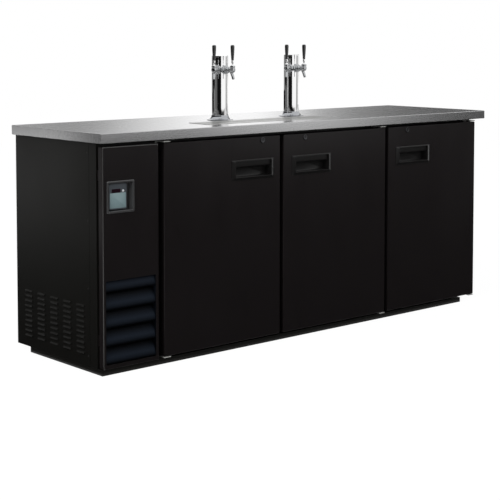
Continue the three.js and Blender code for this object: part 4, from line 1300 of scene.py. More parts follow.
    @staticmethod
    def hollow_end(outer: Surface, inner: Surface) -> Surface:
        """Joins a tube's last circle to an inner tube's last circle, so that the tube has a mouth.

        Args:
            outer: The outer tube, with its two end faces last.
            inner: The inner tube along the outer one's end, of as many sides.

        Returns:
            The closed surface.
        """
        sides = len(outer.faces[-1])
        both = Surface(outer.points, outer.faces[:-1]).with_more(Surface(inner.points, inner.faces[:-1]))
        around = np.arange(sides)
        following = (around + 1) % sides
        outer_end = len(outer.points) - sides
        inner_end = len(both.points) - sides
        lip = (outer_end + around, outer_end + following, inner_end + following, inner_end + around)
        return Surface(both.points, both.faces + np.stack(lip, axis=-1).tolist())

    def lever(self) -> Surface:
        """Builds the ball, the stem and the ferrule: the ball is an arc of its radius about the pivot.

        Returns:
            The surface, about the tower's axis.
        """
        angle = np.linspace(-QUARTER, math.acos(self.stem_radius / self.ball_radius), 14)
        ball = self.ball_radius * np.column_stack([np.cos(angle), np.sin(angle)]) * MM
        end = self.handle_start - self.joint
        rest = rounded_line([
            (self.stem_radius, self.ferrule_start - 4, 0),
            (self.ferrule_radius, self.ferrule_start, 1.2),
            (self.ferrule_radius, self.ferrule_joint - 0.6, 0.4),
            (self.ferrule_radius - self.ferrule_groove, self.ferrule_joint, 0.3),
            (self.ferrule_radius, self.ferrule_joint + 0.6, 0.4),
            (self.ferrule_radius, end, 0.5),
            (0, end, 0),
        ])
        profile = np.concatenate([ball, rest]) + (0, self.pivot_height * MM)
        return self.at_reach(turned(profile, 40))

    def handle(self) -> Surface:
        """Builds the tapered handle: its radius swells in a smooth curve from the base to a domed top.

        Returns:
            The surface, about the tower's axis.
        """
        share = np.linspace(0, 1, 18)
        rise = np.sin(share * QUARTER) ** self.handle_curve
        swell = self.handle_base + (self.handle_top - self.handle_base) * rise
        first, last = self.handle_start + 1, self.handle_end - self.dome
        side = np.column_stack([swell, first + share * (last - first)])
        turn = np.linspace(0, QUARTER, 9)[1:]
        dome = np.column_stack([
            self.handle_top - self.dome_reach * (1 - np.cos(turn)),
            last + self.dome * np.sin(turn),
        ])
        foot = np.array([(0, self.handle_start), (self.handle_base - 0.6, self.handle_start)])
        profile = np.concatenate([foot, side, dome, [(0, self.handle_end)]]) + (0, self.pivot_height)
        return self.at_reach(turned(profile * MM, 48))


@dataclass
class Tower:
    """A column tower: flange, column and cap, with its faucets.

    Attributes hold its sizes in millimetres, and the turn of its first screw in degrees.
    """

    number: int
    wall: float = 1.6
    plug_ease: float = 0.4
    plug_length: float = 12.0
    cap_gap: float = 0.2
    cap_ease: float = 3.2
    flange_height: float = 22.0
    flange_edge: float = 3.5
    flange_bore: float = 29.0
    flange_floor: float = 6.0
    flange_ease: float = 0.4
    shoulder: float = 1.9
    cove_inset: float = 2.5
    cove_drop: float = 0.6
    screws: int = 4
    screw_inset: float = 8.0
    screw_seat: float = 4.0
    first_screw: float = 20.0

    def build(self, shop: Workshop) -> None:
        """Makes the tower's own pieces and its two faucets.

        Args:
            shop: The workshop.
        """
        name = f"tower_{self.number}"
        column, cap, flange = (shop.box(f"{name}_{part}") for part in ("column", "cap", "flange"))
        axis = column.mean(axis=0)[:2]
        base = flange[0, 2]
        radius = (column[1, 1] - column[0, 1]) / 2 / MM
        rim = (flange[1, 1] - flange[0, 1]) / 2 / MM
        foot, top = (column[:, 2] - base) / MM
        end = (cap[1, 2] - base) / MM
        place = (*axis, base)
        parts = (
            ("column", self.column(radius, foot, top), Finishes.CHROME),
            ("cap", self.cap(radius, top, end), Finishes.CHROME),
            ("flange", self.flange(radius, rim), Finishes.FLANGE_STEEL),
        )
        for part, surface, finish in parts:
            shop.replace(f"{name}_{part}", surface.moved(place), finish)
        shop.add(f"{name}_screws", self.screw_heads(rim).moved(place), Finishes.SCREW, f"{name}_flange")
        for number in (2 * self.number - 1, 2 * self.number):
            Faucet(number).build(shop, axis)

    def column(self, radius: float, foot: float, top: float) -> Surface:
        """Builds the pipe, as a profile that closes on itself.

        Args:
            radius: The pipe's outer radius, in millimetres.
            foot: The height of its lower end above the worktop.
            top: The height of its upper end.

        Returns:
            The closed surface, upright about its own axis.
        """
        bore = radius - self.wall
        profile = np.array([(bore, foot), (radius, foot), (radius, top), (bore, top)]) * MM
        return turned(profile, 96, ring=True)

    def cap(self, radius: float, top: float, end: float) -> Surface:
        """Builds the cap: a plug inside the pipe, a rim over it and a slightly domed top.

        Args:
            radius: The pipe's outer radius, in millimetres.
            top: The height of the pipe's upper end.
            end: The height of the cap's top.

        Returns:
            The closed surface, upright about its own axis.
        """
        plug = radius - self.wall - self.plug_ease
        seat = top + self.cap_gap
        return turned(rounded_line([
            (0, top - self.plug_length, 0),
            (plug, top - self.plug_length, 0),
            (plug, seat, 0),
            (radius, seat, 0.4),
            (radius, end - 0.8, self.cap_ease),
            (radius * 0.55, end, 6),
            (0, end, 0),
        ], steps=8), 96)

    def flange(self, radius: float, rim: float) -> Surface:
        """Builds the flange: from its rim a quarter ellipse sweeps up to the shoulder round the pipe.

        Args:
            radius: The pipe's outer radius, in millimetres.
            rim: The flange's outer radius.

        Returns:
            The closed surface, upright about its own axis.
        """
        inner = rim - self.cove_inset
        shoulder = radius + self.shoulder
        bore = radius + self.flange_ease
        head = self.flange_height - self.cove_drop
        turn = np.linspace(0, QUARTER, 16)
        cove = np.column_stack([
            inner - (inner - shoulder) * np.sin(turn),
            head - (head - self.flange_edge) * np.cos(turn),
        ])
        profile = np.concatenate([
            [(self.flange_bore, 0.0), (rim, 0.0)],
            [(rim, self.flange_edge - 1.2), (rim - 0.9, self.flange_edge - 0.2)],
            cove,
            [(shoulder - 0.5, self.flange_height), (bore, self.flange_height)],
            [(bore, self.flange_floor), (self.flange_bore, self.flange_floor)],
        ])
        return turned(profile * MM, 96, ring=True)

    def screw_heads(self, rim: float) -> Surface:
        """Builds the screws that hold the flange down, spaced evenly on its flat rim.

        Args:
            rim: The flange's outer radius, in millimetres.

        Returns:
            All the heads in one surface.
        """
        reach, seat = (rim - self.screw_inset) * MM, self.screw_seat * MM
        turns = math.radians(self.first_screw) + np.arange(self.screws) * FULL_TURN / self.screws
        return together([
            Screw(radius=3.4).head((reach * math.cos(turn), reach * math.sin(turn), seat), (0, 0, 1))
            for turn in turns
        ])


@dataclass
class DoorHandle:
    """The moulded recessed handle: a rim that rises to a ridge, a finger pocket and a hood to pull on.

    Attributes hold its sizes in millimetres. The edge stands upright up to its band and folds in over its
    shoulder. The pocket's floor meets its walls in a round, whose middle point is as far from the wall
    as from the floor.
    """

    side_rim: float = 17.0
    top_rim: float = 4.0
    bottom_rim: float = 11.0
    ridge: float = 2.0
    depth: float = 32.0
    wall: float = 1.6
    corner: float = 5.0
    pocket_corner: float = 3.0
    edge_band: float = 1.3
    edge_shoulder: float = 2.0
    edge_fold: float = 1.0
    throat: float = 2.0
    floor_round: float = 3.0
    floor_middle: float = 0.8
    rim_edge: float = 2.1
    rim_curve: float = 1.5
    crest: float = 0.4
    hood_height: float = 25.0
    hood_drop: float = 9.0
    hood_lip: float = 9.0
    hood_gauge: float = 2.0
    hood_overlap: float = 0.5

    def build(self, shop: Workshop, number: int, door_face: float) -> None:
        """Makes one door's handle.

        Args:
            shop: The workshop.
            number: Which door.
            door_face: The y of the doors' front faces.
        """
        node = f"door_{number}_handle"
        low, high = shop.box(node)
        width, _, height = (high - low) / MM
        proud = (door_face - low[1]) / MM
        moulding = self.moulding(width, height, proud).with_more(self.hood(width, height, proud))
        shop.replace(node, moulding.moved(shop.middle(node, door_face)), Finishes.TRIM)

    def inside(self, width: float, height: float) -> tuple[float, float, float]:
        """Works out the pocket inside the moulding.

        Args:
            width: The moulding's width, in millimetres.
            height: Its height.

        Returns:
            The pocket's width, its height and the rise of its middle.
        """
        return (
            width - 2 * self.side_rim - 2 * self.ridge,
            height - self.top_rim - self.bottom_rim - 2 * self.ridge,
            (self.bottom_rim - self.top_rim) / 2,
        )

    def moulding(self, width: float, height: float, proud: float) -> Surface:
        """Builds the rim and the pocket as one loft from the tub's back over the ridge to the pocket's floor.

        From its flat edge to the ridge the rim is a hollow curve: it rises with a power of the way in.

        Args:
            width: The moulding's width, in millimetres.
            height: Its height.
            proud: How far it stands out of the door.

        Returns:
            The closed surface, about the middle of the moulding on the door's face.
        """
        wide, high, rise = self.inside(width, height)
        outer, middle, floor_round = 2 * self.wall, 2 * self.floor_middle, 2 * self.floor_round
        inner_corner = self.pocket_corner
        edge_width, edge_height = width - 2 * self.edge_fold, height - 2 * self.edge_fold
        rings = [
            (wide + outer, high + outer, inner_corner, self.depth + self.wall, rise),
            (wide + outer, high + outer, inner_corner, 0, rise),
            (width, height, self.corner, 0, 0),
            (width, height, self.corner, -self.edge_band, 0),
            (width - self.edge_fold, height - self.edge_fold, self.corner, -self.edge_shoulder, 0),
        ]
        top_width, top_height = wide + 2 * self.ridge, high + 2 * self.ridge
        climb = proud - self.crest - self.rim_edge
        for share in np.linspace(0.1, 1, 7):
            rings.append((
                edge_width + (top_width - edge_width) * share,
                edge_height + (top_height - edge_height) * share,
                self.corner,
                -self.rim_edge - climb * share**self.rim_curve,
                rise * share,
            ))
        for share in np.linspace(0.2, 1, 5):
            turn = share * math.pi
            rings.append((
                wide + self.ridge * (1 + math.cos(turn)),
                high + self.ridge * (1 + math.cos(turn)),
                self.corner - 1,
                -proud + self.crest * (1 - math.sin(turn)),
                rise,
            ))
        rings += [
            (wide, high, inner_corner, self.throat, rise),
            (wide, high, inner_corner, self.depth - self.floor_round, rise),
            (wide - middle, high - middle, inner_corner, self.depth - self.floor_middle, rise),
            (wide - floor_round, high - floor_round, inner_corner, self.depth, rise),
        ]
        return framed(rings)

    def hood(self, width: float, height: float, proud: float) -> Surface:
        """Builds the hood: a bowed sheet from the ridge's top edge that rolls in at its lower lip.

        Args:
            width: The moulding's width, in millimetres.
            height: Its height.
            proud: How far it stands out of the door.

        Returns:
            The closed surface, about the middle of the moulding on the door's face.
        """
        wide, high, rise = self.inside(width, height)
        top = rise + high / 2
        front = self.hood_drop - proud
        low = top - self.hood_height
        line = rounded_line([
            (front + 0.6, top + 0.6, 0),
            (front + 0.1, top - 2, 2),
            (front, low + 1, 3.4),
            (front + 5, low + 0.3, 2),
            (front + self.hood_lip, low + 1.2, 0),
        ], steps=7)
        gauge = self.hood_gauge * MM
        half = (wide + 2 * self.hood_overlap) / 2 * MM
        return drawn_along_x(sheet_section(line + gauge / 2, gauge), -half, half)


@dataclass
class DoorLock:
    """The key lock: a turned barrel with a keyway across its dished face.

    Attributes hold its sizes in millimetres.
    """

    barrel_radius: float = 9.4
    dish: float = 0.7
    key_width: float = 2.0
    key_height: float = 9.0
    key_depth: float = 4.0

    def build(self, shop: Workshop, number: int, door_face: float) -> None:
        """Makes one door's lock and cuts its keyway with a boolean.

        Args:
            shop: The workshop.
            number: Which door.
            door_face: The y of the doors' front faces.
        """
        node = f"door_{number}_lock"
        low, high = shop.box(node)
        middle = shop.middle(node, door_face)
        rim = (high[2] - low[2]) / 2 / MM
        proud = (door_face - low[1]) / MM
        length = (high[1] - door_face) / MM
        profile = rounded_line([
            (0, -length, 0),
            (self.barrel_radius, -length, 0.6),
            (self.barrel_radius, 0.2, 0),
            (rim, 0.2, 0),
            (rim, proud - 0.4, 1.0),
            (rim - 2.6, proud, 0.8),
            (rim - 3.2, proud - self.dish, 0.4),
            (0, proud - self.dish, 0),
        ])
        piece = shop.replace(node, turned(profile).forward().moved(middle), Finishes.LOCK_NICKEL)
        keyway = framed([
            (self.key_width, self.key_height, 0.6, -proud - 2, 0),
            (self.key_width, self.key_height, 0.6, self.key_depth - proud, 0),
        ])
        carve(piece, keyway.moved(middle))


@dataclass
class LouvreGrille:
    """The grille in the machine cover: a folded frame and belled blades.

    Attributes hold its sizes in millimetres, and shares of the pitch and of a blade's depth. The tones of
    the painted shade on the blades go with their places, which are shares of the pitch above a blade's lip.
    """

    flange: float = 8.0
    gauge: float = 1.5
    corner: float = 2.0
    edge_bevel: float = 0.4
    mouth_bevel: float = 0.8
    blades: int = 5
    pitch: float = 70.0
    lip: float = 5.0
    lip_return: float = 4.0
    lip_gap: float = 0.8
    lowest: float = 1.5
    blade_depth: float = 25.0
    blade_gap: float = 0.6
    rise_share: float = 0.93
    belly_share: float = 0.62
    # Painted shade of the blades: places along the pitch, and the share of the colour left there.
    blade_shade_places: tuple[float, ...] = (0.0, 0.08, 0.2, 0.36, 0.5, 0.75, 1.0)
    blade_shade_tones: tuple[float, ...] = (0.06, 0.16, 0.52, 0.88, 0.62, 0.15, 0.04)

    def build(self, shop: Workshop) -> None:
        """Makes the frame and its blades.

        Args:
            shop: The workshop.
        """
        node = "louvre_grille"
        low, high = shop.box(node)
        width, depth, height = (high - low) / MM
        middle = shop.middle(node, low[1])
        wide, tall = width - 2 * self.flange, height - 2 * self.flange
        half = (wide + self.gauge) / 2 * MM
        foot = self.lowest - tall / 2
        blades = [
            drawn_along_x(self.blade(foot + self.lip + i * self.pitch, tall / 2), -half, half)
            for i in range(self.blades)
        ]
        grille = self.frame(wide, tall, depth).with_more(*blades)
        piece = shop.replace(node, grille.moved(middle), Finishes.DARK_SHEET)
        # Paints the blades' shade and sheen into a point attribute.
        self.painted_blade_shade(piece.data, middle[2] / MM + foot)

    def painted_blade_shade(self, mesh: bpy.types.Mesh, foot: float) -> None:
        """Paints shade on the blades: darker towards their lips and heads, where the blades shade each other,
        and lightest a third of the way up, a painted sheen.

        Args:
            mesh: The grille's mesh.
            foot: The height of the lowest blade's lip, in millimetres.
        """
        share = (points_of(mesh)[:, 2] / MM - foot) / self.pitch % 1.0
        tone = np.interp(share, self.blade_shade_places, self.blade_shade_tones)
        mesh.attributes.new("painted_blade_shade", "FLOAT", "POINT").data.foreach_set("value", tone)

    def frame(self, wide: float, tall: float, depth: float) -> Surface:
        """Builds the flange and the tunnel behind it as one ring of rounded rectangles.

        Args:
            wide: The tunnel's inner width, in millimetres.
            tall: Its inner height.
            depth: How far it runs back.

        Returns:
            The closed surface, about the middle of the flange's front.
        """
        flange, gauge = 2 * self.flange, self.gauge
        bevel, mouth = 2 * self.edge_bevel, 2 * self.mouth_bevel
        return framed([
            (wide + flange, tall + flange, self.corner, gauge, 0),
            (wide + flange, tall + flange, self.corner, self.edge_bevel, 0),
            (wide + flange - bevel, tall + flange - bevel, self.corner, 0, 0),
            (wide + mouth, tall + mouth, 1.2, 0, 0),
            (wide + mouth / 4, tall + mouth / 4, 0.8, 0.3, 0),
            (wide, tall, 0.6, 1, 0),
            (wide, tall, 0.6, depth, 0),
            (wide + 2 * gauge, tall + 2 * gauge, 1, depth, 0),
            (wide + 2 * gauge, tall + 2 * gauge, 1, gauge, 0),
        ], closed_ring=True)

    def blade(self, foot: float, head: float) -> np.ndarray:
        """Works out one blade's outline of depth and height.

        The lip runs back and down in front, and above it a quadratic curve bells from the front to the back.

        Args:
            foot: The height of the curve's foot, above the lip.
            head: The height that no blade passes.

        Returns:
            The closed outline, in metres.
        """
        rise = self.pitch * self.rise_share
        front = self.gauge / 2 + self.blade_gap
        start = np.array([front, 0.0])
        pull = np.array([front + self.blade_depth * (1 - self.belly_share), rise * self.belly_share])
        end = np.array([self.blade_depth + self.gauge / 2, rise])
        sweep = bend(start, pull, end, np.linspace(0, 1, 18)[:, None])
        lip_foot = self.lip_gap - self.lip
        lip = rounded_line([
            (front + self.lip_return, lip_foot, 0),
            (front, lip_foot, 2.2),
            (front, 0, 0),
        ]) / MM
        line = np.concatenate([lip[:-1], sweep]) + (0, foot)
        return sheet_section(line[line[:, 1] < head], self.gauge) * MM


@dataclass
class Controls:
    """The control window in the cover, with the controller, its display, its label plate and its button.

    Attributes hold its sizes in millimetres: the display's inset is from the controller's left and top
    edges, and the plate's foot is above its bottom edge. The display's and the plate's depths are those
    of back, edge and face behind the controller's front, and the rounding's middle is how far in and how
    deep that point is.
    """

    rim: float = 9.0
    wall: float = 2.0
    proud: float = 3.0
    corner: float = 6.0
    rounding: float = 1.2
    rounding_middle: tuple[float, float] = (0.4, 0.3)
    recess_corner: float = 1.5
    pane_gap: float = 0.3
    display: tuple[float, float] = (42.0, 17.0)
    display_inset: tuple[float, float] = (12.0, 21.0)
    display_depths: tuple[float, float, float] = (1.4, 0.6, 0.2)
    display_corner: float = 1.0
    display_bevel: float = 0.4
    plate: tuple[float, float] = (76.0, 60.0)
    plate_foot: float = 5.0
    plate_depths: tuple[float, float, float] = (0.75, 0.3, 0.15)
    plate_corner: float = 2.7
    plate_bevel: float = 0.2

    def build(self, shop: Workshop) -> None:
        """Makes the window, the controller's face and the button.

        Args:
            shop: The workshop.
        """
        self.window(shop)
        shop.soften("controller", Finishes.CONTROLLER, 0.7, 3)
        low, high = shop.box("controller")
        wide, tall = self.display
        inset_x, inset_z = self.display_inset
        middle = (low[0] + (inset_x + wide / 2) * MM, low[1], high[2] - (inset_z + tall / 2) * MM)
        glass = self.pane(self.display, self.display_depths, self.display_corner, self.display_bevel)
        shop.add("display_glass", glass.moved(middle), Finishes.DISPLAY, "controller")
        wide, tall = self.plate
        middle = ((low[0] + high[0]) / 2, low[1], low[2] + (self.plate_foot + tall / 2) * MM)
        label = self.pane(self.plate, self.plate_depths, self.plate_corner, self.plate_bevel)
        shop.add("controller_plate", label.moved(middle), Finishes.CONTROL_PLATE, "controller")
        self.button(shop)

    def pane(
        self, size: tuple[float, float], depths: tuple[float, float, float], corner: float, bevel: float
    ) -> Surface:
        """Builds a pane that lies in its recess with a gap around it and a bevel around its face.

        Args:
            size: The recess's width and height, in millimetres.
            depths: How deep the pane's back, its edge and its face lie.
            corner: The radius of its corners.
            bevel: How far the bevel runs in.

        Returns:
            The closed surface, about the middle of the recess's mouth.
        """
        wide, tall = size[0] - 2 * self.pane_gap, size[1] - 2 * self.pane_gap
        back, edge, face = depths
        return framed([
            (wide, tall, corner, back, 0),
            (wide, tall, corner, edge, 0),
            (wide - 2 * bevel, tall - 2 * bevel, corner - 0.2, face, 0),
        ])

    def window(self, shop: Workshop) -> None:
        """Makes the window's frame: a loft from the tub's back over the rounded rim to the recess's floor.

        Args:
            shop: The workshop.
        """
        node = "window_frame"
        low, high = shop.box(node)
        width, depth, height = (high - low) / MM
        wide, tall = width - 2 * self.rim, height - 2 * self.rim
        outer, rounding = 2 * self.wall, 2 * self.rounding
        inset, deep = 2 * self.rounding_middle[0], self.rounding_middle[1]
        floor = depth - self.wall
        window = framed([
            (wide + outer, tall + outer, self.recess_corner, depth, 0),
            (wide + outer, tall + outer, self.recess_corner, self.proud, 0),
            (width, height, self.corner, self.proud, 0),
            (width, height, self.corner, self.rounding, 0),
            (width - inset, height - inset, self.corner, deep, 0),
            (width - rounding, height - rounding, self.corner - 1, 0, 0),
            (wide + rounding, tall + rounding, 2.4, 0, 0),
            (wide + inset, tall + inset, 1.8, deep, 0),
            (wide, tall, self.recess_corner, 1.4, 0),
            (wide, tall, self.recess_corner, floor - 1, 0),
            (wide - 1, tall - 1, 1.2, floor - 0.2, 0),
            (wide - 3, tall - 3, 1, floor, 0),
        ])
        shop.replace(node, window.moved(shop.middle(node, low[1])), Finishes.WINDOW_TRIM)

    @staticmethod
    def button(shop: Workshop) -> None:
        """Makes the push button, with a shallow dish in its face.

        Args:
            shop: The workshop.
        """
        node = "set_button"
        low, high = shop.box(node)
        radius = (high[0] - low[0]) / 2 / MM
        length = (high[1] - low[1]) / MM
        profile = rounded_line([
            (0, 0, 0),
            (radius, 0, 0),
            (radius, length, 0.9),
            (radius * 0.6, length, 0.8),
            (0, length - 0.35, 0),
        ])
        shop.replace(node, turned(profile, 40).forward().moved(shop.middle(node, high[1])), Finishes.BUTTON)


@dataclass
class Cabinet:
    """The box, the doors, the worktop and the machine side, as rounded copies of their solids.

    Attributes:
        plain: Node, finish and edge width in millimetres.
        rims: Wider roundings of the front's outline.
        edges: Lighter finishes of the roundings, painted highlights on them, where they differ.
        door_edge: How far the doors' roundings reach.
        doors: The doors' numbers. The first hangs on its left edge, the others on their right edges.
        hinge_plate: How thick the hinge brackets' upright plates are.
        hinge_screws: How far the brackets' screws are from their outer and free edges.
        side_screws: How far the side panel's screws are from its upright and level edges.
        rear_screws: The same for the rear panel.
        screw_rows: How many screws an upright edge has.
    """

    plain: tuple[tuple[str, Finish, float], ...] = (
        # The plinth, the machine frame and the side panel take the darker copy of the paint: painted shade.
        ("plinth", Finishes.SHADED_SIDE_PAINT, 0.6),
        ("cold_box", Finishes.BLACK_PAINT, 1.0),
        ("lid_panel", Finishes.GALVANISED, 0.6),
        ("inner_liner", Finishes.LINER, 0.4),
        ("worktop", Finishes.STAINLESS, 1.6),
        ("machine_frame", Finishes.SHADED_SIDE_PAINT, 0.5),
        ("side_panel", Finishes.SHADED_SIDE_PAINT, 0.45),
        ("rear_panel", Finishes.GALVANISED, 0.4),
        ("front_cover", Finishes.BLACK_PAINT, 0.45),
        ("condenser", Finishes.ALUMINIUM, 0.4),
        ("condenser_fan", Finishes.ALUMINIUM, 0.5),
        ("compressor", Finishes.ENAMEL, 0.8),
        ("evaporator", Finishes.ALUMINIUM, 0.4),
        ("evaporator_fan", Finishes.ALUMINIUM, 0.5),
        ("drip_pan", Finishes.TRAY_STEEL, 0.6),
        ("drip_grate", Finishes.TRAY_STEEL, 0.4),
    )
    rims: dict[str, float] = field(default_factory=lambda: {"front_cover": 3.0})
    # The edge finishes are lighter copies of the faces' finishes: painted highlights on the roundings.
    edges: dict[str, Finish] = field(
        default_factory=lambda: {"front_cover": Finishes.EDGE_HIGHLIGHT_PAINT, "worktop": Finishes.STEEL_EDGE_HIGHLIGHT}
    )
    door_edge: float = 1.2
    doors: tuple[int, ...] = (1, 2, 3)
    hinge_plate: float = 3.0
    hinge_screws: tuple[float, float] = (23.0, 12.0)
    side_screws: tuple[float, float] = (9.0, 40.0)
    rear_screws: tuple[float, float] = (10.0, 30.0)
    screw_rows: int = 4

    def build(self, shop: Workshop) -> None:
        """Makes every piece of the cabinet.

        Args:
            shop: The workshop.
        """
        for node, finish, width in self.plain:
            shop.soften(node, finish, width, rim=self.rims.get(node, 0.0), edge=self.edges.get(node))
        door_face = shop.box("front_cover")[0, 1]
        for number in self.doors:
            self.door(shop, number, door_face)
        LouvreGrille().build(shop)
        Controls().build(shop)
        self.panel_screws(shop)

    def door(self, shop: Workshop, number: int, door_face: float) -> None:
        """Makes a door with what it carries and its hinge brackets.

        Args:
            shop: The workshop.
            number: Which door.
            door_face: The y of the doors' front faces.
        """
        name = f"door_{number}"
        # The doors' roundings take the lighter edge paint: a painted highlight along their edges.
        shop.soften(name, Finishes.BLACK_PAINT, self.door_edge, edge=Finishes.EDGE_HIGHLIGHT_PAINT)
        shop.soften(f"{name}_gasket", Finishes.GASKET, 1.2, 3)
        DoorHandle().build(shop, number, door_face)
        DoorLock().build(shop, number, door_face)
        inward, rise = np.array(self.hinge_screws) * MM
        heads = []
        for end in ("top", "bottom"):
            node = f"{name}_{end}_hinge"
            shop.soften(node, Finishes.ZINC_PLATE, 0.5)
            low, high = shop.box(node)
            x = low[0] + inward if number == self.doors[0] else high[0] - inward
            z = low[2] + rise if end == "top" else high[2] - rise
            heads.append(Screw(radius=3.4).head((x, high[1] - self.hinge_plate * MM, z), (0, -1, 0)))
        shop.add(f"{name}_hinge_screws", together(heads), Finishes.SCREW, f"{name}_top_hinge")

    def panel_screws(self, shop: Workshop) -> None:
        """Makes the screws along the upright edges of the side and rear panels.

        Args:
            shop: The workshop.
        """
        screw = Screw(radius=3.2, height=1.3)
        plane = shop.box("machine_frame")[0, 0]
        places = self.screw_places(shop.box("side_panel")[:, 1:], self.side_screws)
        heads = together([screw.head((plane, y, z), (-1, 0, 0)) for y, z in places])
        shop.add("side_panel_screws", heads, Finishes.BLACK_SCREW, "side_panel")
        box = shop.box("rear_panel")
        places = self.screw_places(box[:, ::2], self.rear_screws)
        heads = together([screw.head((x, box[1, 1], z), (0, 1, 0)) for x, z in places])
        shop.add("rear_panel_screws", heads, Finishes.SCREW, "rear_panel")

    def screw_places(self, box: np.ndarray, insets: tuple[float, float]) -> list[tuple[float, float]]:
        """Spaces screws evenly along both upright edges of a panel.

        Args:
            box: The panel's lowest and highest corner, each across and up.
            insets: How far the screws are from its upright and level edges, in millimetres.

        Returns:
            The place across and up of each screw.
        """
        low, high = box + np.array([insets, np.negative(insets)]) * MM
        rows = np.linspace(low[1], high[1], self.screw_rows)
        return [(across, up) for across in (low[0], high[0]) for up in rows]


# Studio


@dataclass
class Studio:
    """The camera, the lamps, the floor and the cards that shape what the metal reflects.

    Attributes:
        place: Where the camera stands.
        heading: Its turn from +Y towards +X, in degrees.
        pitch: Its tilt up, in degrees.
        focal_px: Its focal length in pixels of the picture.
        shift: How far its frame is shifted up, as a share of the frame's width.
        sensor: The width of its sensor, in millimetres.
        sky: How strong the light of the world is where it isn't seen.
        floor_half: Half the floor's width.
        floor_tone: The floor's own colour.
        floor_white: How bright the white over the floor is.
        floor_share: The share of that white in what is seen of the floor.
        aim: Where the lamps point.
        lamp_size: How wide they are.
        wall_radius: How far the left card is from the origin.
        card_black: How bright a black card is.
        edge_places: Places along the front card, in x.
        edge_tones: How bright it is there, so that the worktop's edge looks as lit as in the photograph.
        top_places: Places along the card behind, in x.
        top_tones: How bright it is there.
    """

    place: tuple[float, float, float] = (-3.951, -4.363, 1.310)
    heading: float = 41.34
    pitch: float = -3.64
    focal_px: float = 1303.6
    shift: float = -0.266
    sensor: float = 36.0
    sky: float = 0.45
    floor_half: float = 9.0
    floor_tone: float = 0.8
    floor_white: float = 1.08
    floor_share: float = 0.88
    aim: tuple[float, float, float] = (0.0, 0.0, 0.6)
    lamp_size: float = 3.0
    wall_radius: float = 4.6
    card_black: float = 0.006
    edge_places: tuple[float, ...] = (-0.31, 0.1, 0.6, 0.98, 1.3, 1.5, 1.8, 2.2, 2.65)
    edge_tones: tuple[float, ...] = (0.006, 0.03, 0.60, 0.92, 0.80, 0.60, 0.36, 0.12, 0.04)
    top_places: tuple[float, ...] = (-0.23, -0.1, 0.07, 0.24, 0.62, 1.0, 1.27, 1.49, 1.79, 2.25, 2.58)
    top_tones: tuple[float, ...] = (0.26, 0.36, 0.6, 0.85, 1.3, 1.3, 0.95, 0.46, 0.24, 0.1, 0.06)

    def build(self) -> None:
        """Makes everything around the object."""
        self.camera()
        self.world()
        self.floor()
        self.lamps()
        self.left_card()
        self.front_card()
        self.back_card()
        self.side_card()
        self.corner_card()
        bpy.context.scene.view_settings.view_transform = "Standard"

    def camera(self) -> None:
        """Makes the camera at the photograph's viewing angle."""
        data = bpy.data.cameras.new("camera")
        data.sensor_width = self.sensor
        data.lens = self.focal_px / PICTURE_WIDTH * self.sensor
        data.shift_y = self.shift
        camera = bpy.data.objects.new("camera", data)
        camera.location = self.place
        camera.rotation_euler = Euler((math.radians(90 + self.pitch), 0, -math.radians(self.heading)))
        bpy.context.scene.collection.objects.link(camera)
        bpy.context.scene.camera = camera

    @staticmethod
    def seen_directly(tree: bpy.types.ShaderNodeTree) -> bpy.types.NodeSocket:
        """Adds a mask that is 1 for camera, glossy and transmission rays.

        Args:
            tree: The nodes that it joins.

        Returns:
            The mask's socket.
        """
        ray = tree.nodes.new("ShaderNodeLightPath").outputs
        seen = math_node(tree, "MAXIMUM", ray["Is Camera Ray"], ray["Is Glossy Ray"])
        return math_node(tree, "MAXIMUM", seen, ray["Is Transmission Ray"])

    @staticmethod
    def mixed(
        tree: bpy.types.ShaderNodeTree,
        share: bpy.types.NodeSocket,
        shaders: Sequence[bpy.types.Node],
        output: str,
    ) -> None:
        """Mixes two shaders and joins them to an output node.

        Args:
            tree: The nodes.
            share: The socket of the second one's share.
            shaders: The two shader nodes.
            output: The output node's name.
        """
        mix = tree.nodes.new("ShaderNodeMixShader")
        tree.links.new(share, mix.inputs["Fac"])
        tree.links.new(shaders[0].outputs[0], mix.inputs[1])
        tree.links.new(shaders[1].outputs[0], mix.inputs[2])
        tree.links.new(mix.outputs[0], tree.nodes[output].inputs["Surface"])

    def world(self) -> None:
        """Makes the world: white where it is seen or mirrored, and a soft grey light elsewhere."""
        world = bpy.data.worlds.new("studio")
        world.use_nodes = True
        bpy.context.scene.world = world
        tree = world.node_tree
        light = tree.nodes["Background"]
        seen = tree.nodes.new("ShaderNodeBackground")
        for node, strength in ((light, self.sky), (seen, 1.0)):
            node.inputs["Color"].default_value = (1.0, 1.0, 1.0, 1.0)
            node.inputs["Strength"].default_value = strength
        self.mixed(tree, self.seen_directly(tree), (light, seen), "World Output")

    def floor(self) -> None:
        """Makes the pale floor, which keeps the object's shadow under a share of plain white."""
        half = self.floor_half
        mesh = bpy.data.meshes.new("floor")
        corners = [(-half, -half, 0), (half, -half, 0), (half, half, 0), (-half, half, 0)]
        mesh.from_pydata(corners, [], [(0, 1, 2, 3)])
        floor = bpy.data.objects.new("floor", mesh)
        bpy.context.scene.collection.objects.link(floor)
        material = bpy.data.materials.new("pale floor")
        material.use_nodes = True
        tree = material.node_tree
        shader = tree.nodes["Principled BSDF"]
        shader.inputs["Base Color"].default_value = (self.floor_tone,) * 3 + (1.0,)
        shader.inputs["Roughness"].default_value = 0.7
        shader.inputs["Specular IOR Level"].default_value = 0.1
        white = tree.nodes.new("ShaderNodeEmission")
        white.inputs["Strength"].default_value = self.floor_white
        share = math_node(tree, "MULTIPLY", self.seen_directly(tree), self.floor_share)
        self.mixed(tree, share, (shader, white), "Material Output")
        mesh.materials.append(material)

